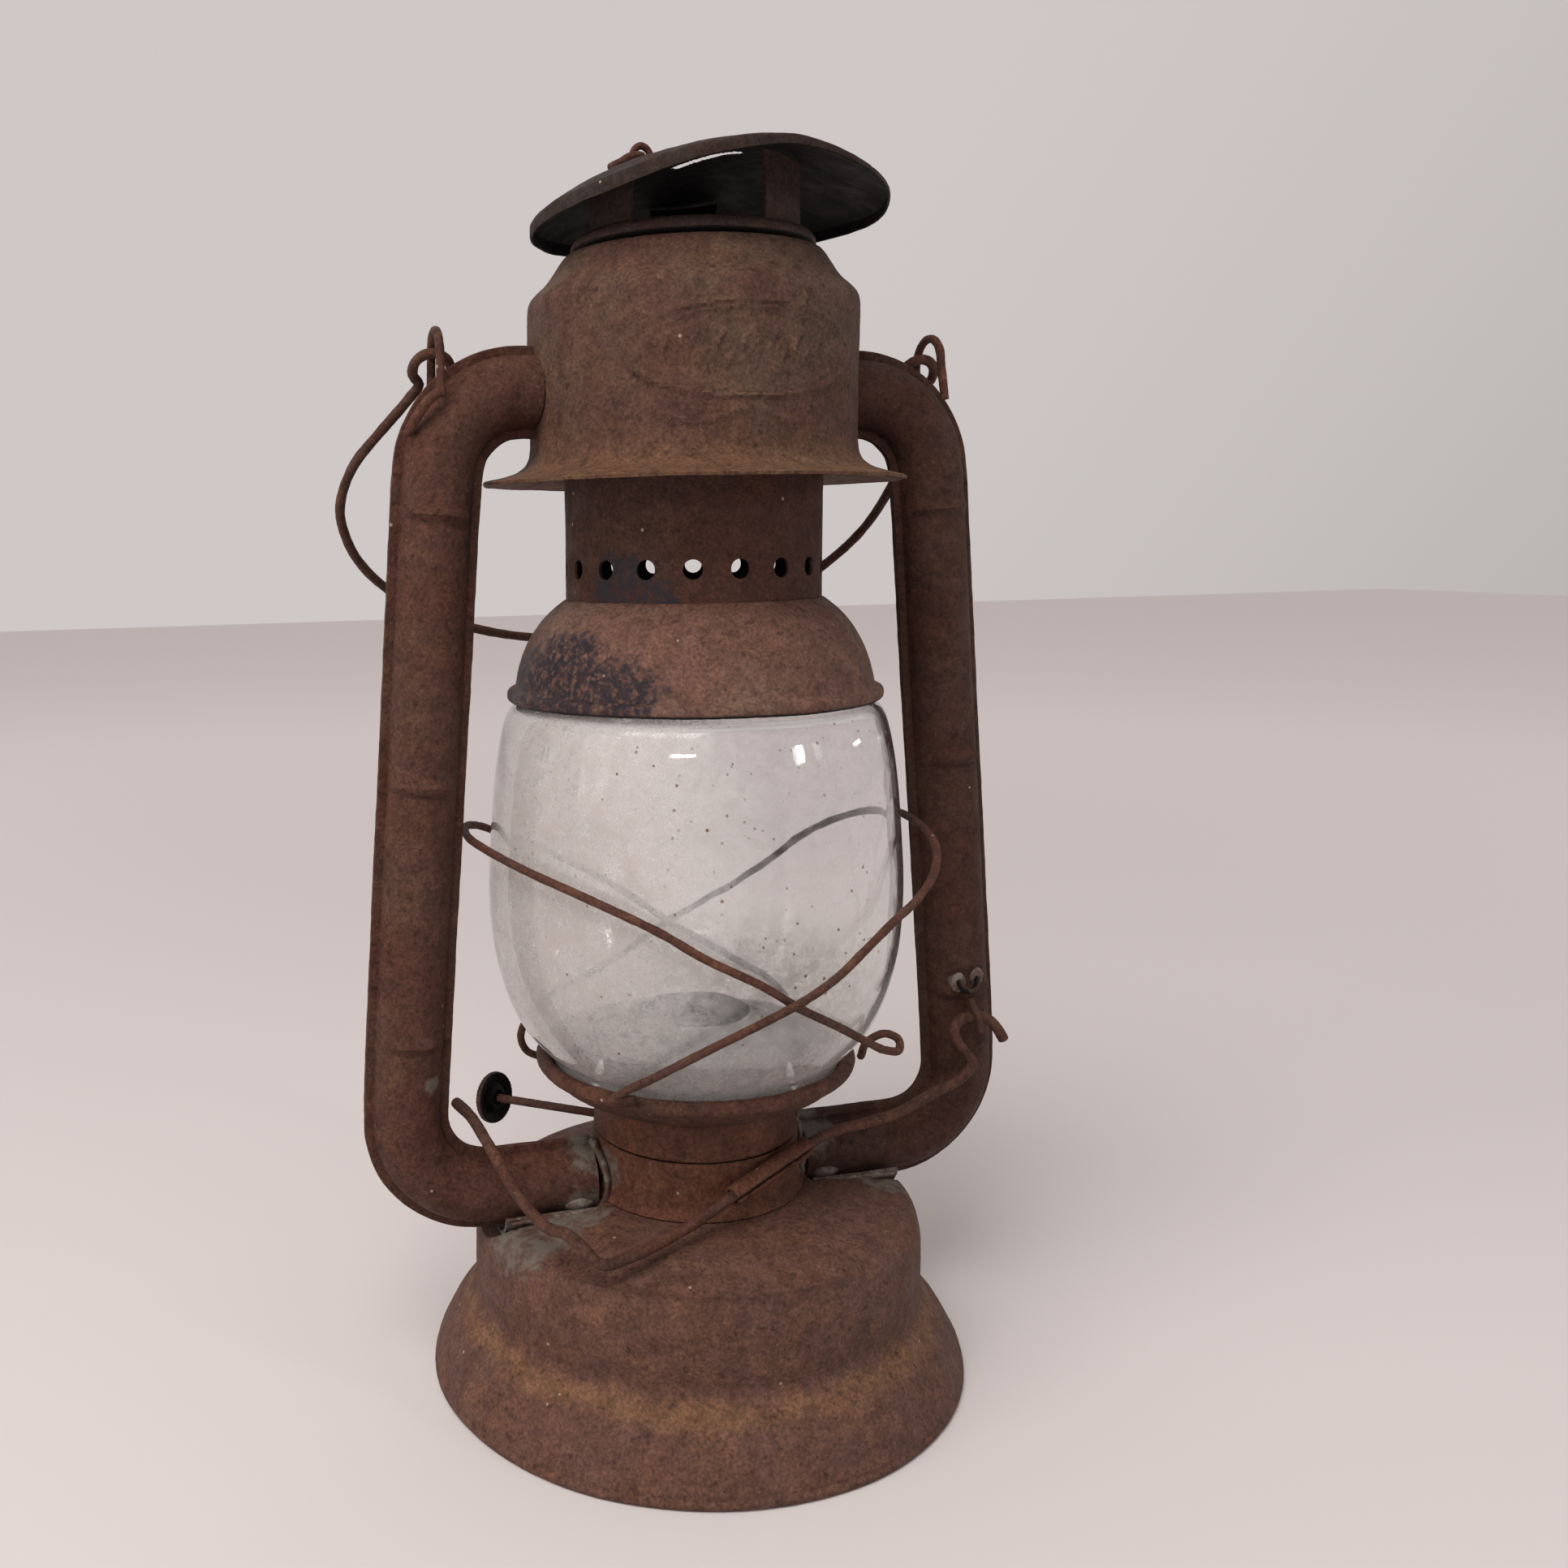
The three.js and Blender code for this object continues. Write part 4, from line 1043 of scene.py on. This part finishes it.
def guard_wires():
    first = [(-137, 46.6, 92), (-130, 49, 96.4), (-120, 52.8, 102.4), (-106, 57, 111.4), (-92, 60, 119.4),
             (-84, 61.4, 123.6), (-75, 61.6, 128.2), (-64, 61.6, 134.6), (-54, 61.8, 138.8),
             (-46, 63.6, 142.2), (-37, 65.6, 147), (-26, 65.6, 151.6), (-15, 63.4, 155.2), (2, 60.6, 156.7),
             (20, 60.6, 152), (34, 60.8, 145), (52, 60.6, 130.7), (69, 60.2, 119), (78, 59.4, 114),
             (91, 56.6, 106.6), (110, 52.6, 101), (130, 51, 98.6), (145, 51.6, 95), (149, 52.4, 90.4),
             (148.4, 50.6, 86), (145, 46.6, 84), (142.5, 43.4, 86.2)]
    second = [(33, 47.6, 94.6), (43, 50.2, 98.6), (52, 52, 101.2), (60, 53.8, 104), (68, 55, 107.6),
              (78, 56.4, 113), (88, 58.6, 119.6), (97, 60.2, 126.4), (118, 61.2, 139.2), (141, 60.8, 150),
              (152, 62.4, 154.4), (165, 63.6, 157), (176, 63.2, 156.6), (187, 61.4, 155.6),
              (206, 60.4, 153.4), (227, 60.4, 148.5), (243, 60.4, 142), (253, 60.2, 135.8),
              (267, 59.4, 128), (277, 58.4, 121), (290, 57, 113.6), (302, 56.4, 106.8), (311, 57.4, 102),
              (317, 59.2, 100.4), (318.5, 58.6, 102.6), (315, 55.6, 105), (314, 51.6, 102.6), (320, 48, 96)]
    for letter, path in (("a", first), ("b", second)):
        route = [polar(*p) for p in path]
        wire(f"guard_{letter}", route, GUARD_R, "globe_carrier", [f"guard_wire_{letter}"])
    clip = through([polar(-128, 46.6, 93.2), polar(-133, 46.8, 92.4), polar(-138, 46.2, 91)], 0.5)
    make("guard_clip", sweep(clip, lambda i: ring(2.2, 16, 0.5)), "globe_carrier", rust_wire, (),
         0.1, 1.3)


# ---- bail and ears ----
EAR_X = 68.5
EAR_Z = 281
EAR_WIRE_R = 1.15
ARCH_R = 7
BAIL_R = 1.35
BAIL_TILT = math.radians(36)
EYE_R = 5
EYE_TURN = -17


def ears():
    half_circle = [on_circle(a, ARCH_R) for a in spread(0, 180, 8)]
    for side, word in SIDES:
        arch = [(side * EAR_X, y, EAR_Z + rise) for y, rise in half_circle]
        path = [(side * (EAR_X + 0.4), 7.5, 271.2), *arch, (side * (EAR_X + 0.4), -9, 271.2)]
        wire(f"staple_{word}", path, EAR_WIRE_R, "frame", [f"ear_{word}"], step=0.5)
    # The left ear's other end, laid down along the tube's outer edge.
    path = [(-69.2, -9.6, 272.4), (-71.6, -9.2, 270.6), (-74.4, -7.4, 267), (-77, -4.2, 262.4)]
    wire("staple_left_tail", path, EAR_WIRE_R + 0.1, "frame", step=0.5)


def bail():
    shape = [(-74, 8.2), (-82, 19.5), (-87, 27), (-90, 35), (-91, 43), (-89.4, 51), (-85.6, 59.6),
             (-78, 69), (-66, 78), (-51, 85.4), (-31, 90.2), (-5, 91), (20, 87.4), (42, 79), (57, 66.6),
             (67, 53), (71.8, 38.5), (73.4, 22), (72.6, 10)]

    def eye(side):
        loop = [on_circle(a, EYE_R) for a in spread(-52, 248, 8)]
        return [(side * (EAR_X + across), -rise) for across, rise in loop]
    eye_y, eye_rise = on_circle(EYE_TURN, ARCH_R)
    path = [(x, eye_y + drop * math.sin(BAIL_TILT), EAR_Z + eye_rise - drop * math.cos(BAIL_TILT))
            for x, drop in [*reversed(eye(-1)), *shape, *eye(1)]]
    wire("bail_wire", path, BAIL_R, "bail", ["bail"], step=1.0)


# ---- lift lever ----
LEVER_PIVOT = Vector((11, -30.4, 66.2))
LEVER_AXIS = Vector((0.905, 0.336, 0.26)).normalized()
LEVER_R = 1.55


def on_axis(distance):
    return LEVER_PIVOT + LEVER_AXIS * distance


def lever():
    path = [(-69.4, 0.5, 83.2), (-66.4, -6, 81.2), (-63.7, -15, 77), (-57.7, -27, 66),
            (-52.4, -34.6, 60.6), (-48.9, -40.5, 61.2), (-45.8, -45, 59.6), (-42, -49.2, 56.2),
            (-35, -47.4, 55.8), on_axis(-30), on_axis(-16), on_axis(0), on_axis(16),
            (32.4, -21.4, 70.8), (44, -16.4, 69.8), (56, -13.8, 70.4)]
    hook = [(68.5, 75.4), (75.6, 78.2), (79.2, 80.8), (80.3, 83.6), (77.8, 87), (75.2, 91), (74.4, 94.2),
            (75.8, 96.4), (79, 97.4), (83, 97), (86, 95.4), (88.5, 92.6), (90.4, 89.4)]
    path += [(x, -13.6, z) for x, z in hook]
    wire("lever_wire", path, LEVER_R, "lever", ["lift_lever"])
    tie = [(79.5, -13.5, 102.7), (79.9, -14.7, 100.2), (80.9, -15.5, 97.6), (81.7, -15.4, 94.8),
           (82, -15, 93.2)]
    wire("lever_tie", tie, 0.98, "lever", step=0.4)


def sleeve_parts():
    """The sheet strip wrapped round the lever and soldered to the air drum, and the catch on the tube."""
    route = [on_axis(d / 2) for d in range(-28, 29)]
    turns = spread(200, 520, 22)
    strip = [on_circle(a, 2.75) for a in turns] + [on_circle(a, 1.95) for a in reversed(turns)]
    make("sleeve", sweep(route, lambda i: strip, UP), "frame", rust_collar, ["lever_sleeve"], 0.12, 2)
    lug = [(77.1, -10.1, 107.4), (78, -11.9, 105.2), (79.8, -12.7, 104.7), (81.8, -12.2, 105.4),
           (83.1, -10.6, 108)]
    wire("catch", lug, 0.9, "frame", ["lever_catch"], rust_dark, step=0.4)
    for number, (place, size) in enumerate((((77.2, -10.2, 106.8), 2.5), ((83.1, -10.2, 108.2), 2.2))):
        outline = [(0, -0.5), (0.8, -0.3), (1, 0), (0.8, 0.3), (0, 0.5)]
        blob = spun([(size * r, size * z) for r, z in outline], 0.4, 40, False, 2)
        bead = moved(blob, lambda p: Vector((p.x, p.z * 0.6, 1.25 * p.y)) + Vector(place))
        make(f"catch_solder_{number}", bead, "frame", solder, (), 0.22, 1.4)


def solder_beads():
    """Hand-run solder along the joints: flat, lumpy fillets."""
    def fillet(name, points, radius):
        route = through(points, 0.8)

        def ring_at(i):
            swell = radius * (1 + 0.45 * lumps(route[i], 4, 3) + 0.25 * lumps(route[i], 1.6, 5))
            taper = min(1, 0.25 + min(i, len(route) - 1 - i) / 4)
            return ring(max(swell, 0.2) * taper, 14, 0.75)
        make(name, sweep(route, ring_at), "frame", solder, (), 0.25, 1.8)

    def tube_joint(side):
        """Points where a tube's end meets the round air drum."""
        arc = [on_circle(a, 9.8) for a in spread(70, 290, 12)]
        return [(side * (math.sqrt(COLLAR_R**2 - y * y) + 1.2), y, RUN_Z + rise) for y, rise in arc]
    fillet("solder_left_drum", tube_joint(-1), 1.35)
    fillet("solder_right_drum", tube_joint(1), 1.1)
    for side, word in SIDES:
        arc = [on_circle(a, 1) for a in range(-90, 91, 15)]
        lump = spun([(7 * r, 3.6 * z) for r, z in arc], 0.8, 48, False)
        under = moved(lump, lambda p: Vector((side * 37 + p.x, 1.5 * p.y, 53 + p.z)))
        make(f"solder_under_{word}", under, "frame", solder, (), 0.3, 2.2)
        for face, row in ((-1, "front"), (1, "rear")):
            path = [(side * x, face * 12.6, 52.2 - 0.02 * (x - 32)) for x in range(33, 58, 4)]
            fillet(f"solder_{word}_{row}", path, 1.1)
    fillet("solder_sleeve", [on_axis(d) + Vector((-0.6, 1.8, -2.2)) for d in range(-8, 14, 3)], 1.3)


for assembly in (fount, saddles, filler, collar, burner, wick_raiser, side_tubes, hood, hood_spring, chimney,
                 dome, rain_cap, cap_straps, lift_ring, globe, globe_plate, guard_wires, ears, bail, lever,
                 sleeve_parts, solder_beads):
    assembly()


# ---- studio ----
BRIGHT_SIDE = (-0.45, 0.6, 0.5)
# Glints on the globe: heading and height of the spot, and the size of the lamp that it mirrors.
GLINTS = ((-112, 184, (0.3, 0.03)), (-80, 180, (0.1, 0.16)), (-58, 186, (0.12, 0.03)))
GLINT_REACH = 1.3
GLINT_WATTS = 110


def studio():
    bpy.ops.mesh.primitive_grid_add(x_subdivisions=4, y_subdivisions=4, size=8)
    floor = bpy.context.object
    floor.name = "floor"
    pale = Graph("pale_floor")
    # Painted light: the floor is painted darker near the lantern and lighter towards the horizon.
    reach = pale.vector("LENGTH", pale.place)
    tone = pale.mix(pale.ramp(reach, 0.3, 1.6), (0.6, 0.56, 0.55), (0.86, 0.8, 0.79))
    floor.data.materials.append(pale.finish(tone, 0.8))

    sky = Graph("studio", bpy.data.worlds)
    toward = sky.vector("DOT_PRODUCT", sky.coordinates.outputs["Generated"], BRIGHT_SIDE)
    background = sky.add("ShaderNodeBackground", Color=(1.0, 0.93, 0.92),
                         Strength=sky.ramp(toward, -0.6, 0.5, 0.3, 0.62))
    bpy.context.scene.world = sky.show(background, "ShaderNodeOutputWorld")

    def lamp(name, place, target, size, watts, shines):
        light = bpy.data.lights.new(name, "AREA")
        light.shape = "RECTANGLE"
        light.size, light.size_y = size
        light.energy = watts
        light.color = (1, 0.96, 0.93)
        holder = placed(name, light)
        holder.location = place
        holder.visible_glossy = shines
        aim = Vector(target) - Vector(place)
        holder.rotation_euler = aim.to_track_quat("-Z", "Y").to_euler()
    middle = (0, 0, 0.17)
    lamp("key", (-0.55, -0.6, 1.35), middle, (0.9, 0.7), 17, False)
    lamp("side", (-1.3, -0.3, 0.6), middle, (0.5, 0.9), 4.5, False)
    for number, (side, z, size) in enumerate(GLINTS):
        spot = polar(side, 53, z) * MM
        normal = polar(side, 0.97, 0.24)
        view = (bpy.context.scene.camera.location - spot).normalized()
        mirrored = 2 * normal.dot(view) * normal - view
        lamp(f"glint_{number}", spot + GLINT_REACH * mirrored, spot, size,
             GLINT_WATTS * size[0] * size[1], True)


studio()
bpy.context.scene.view_settings.view_transform = "Standard"
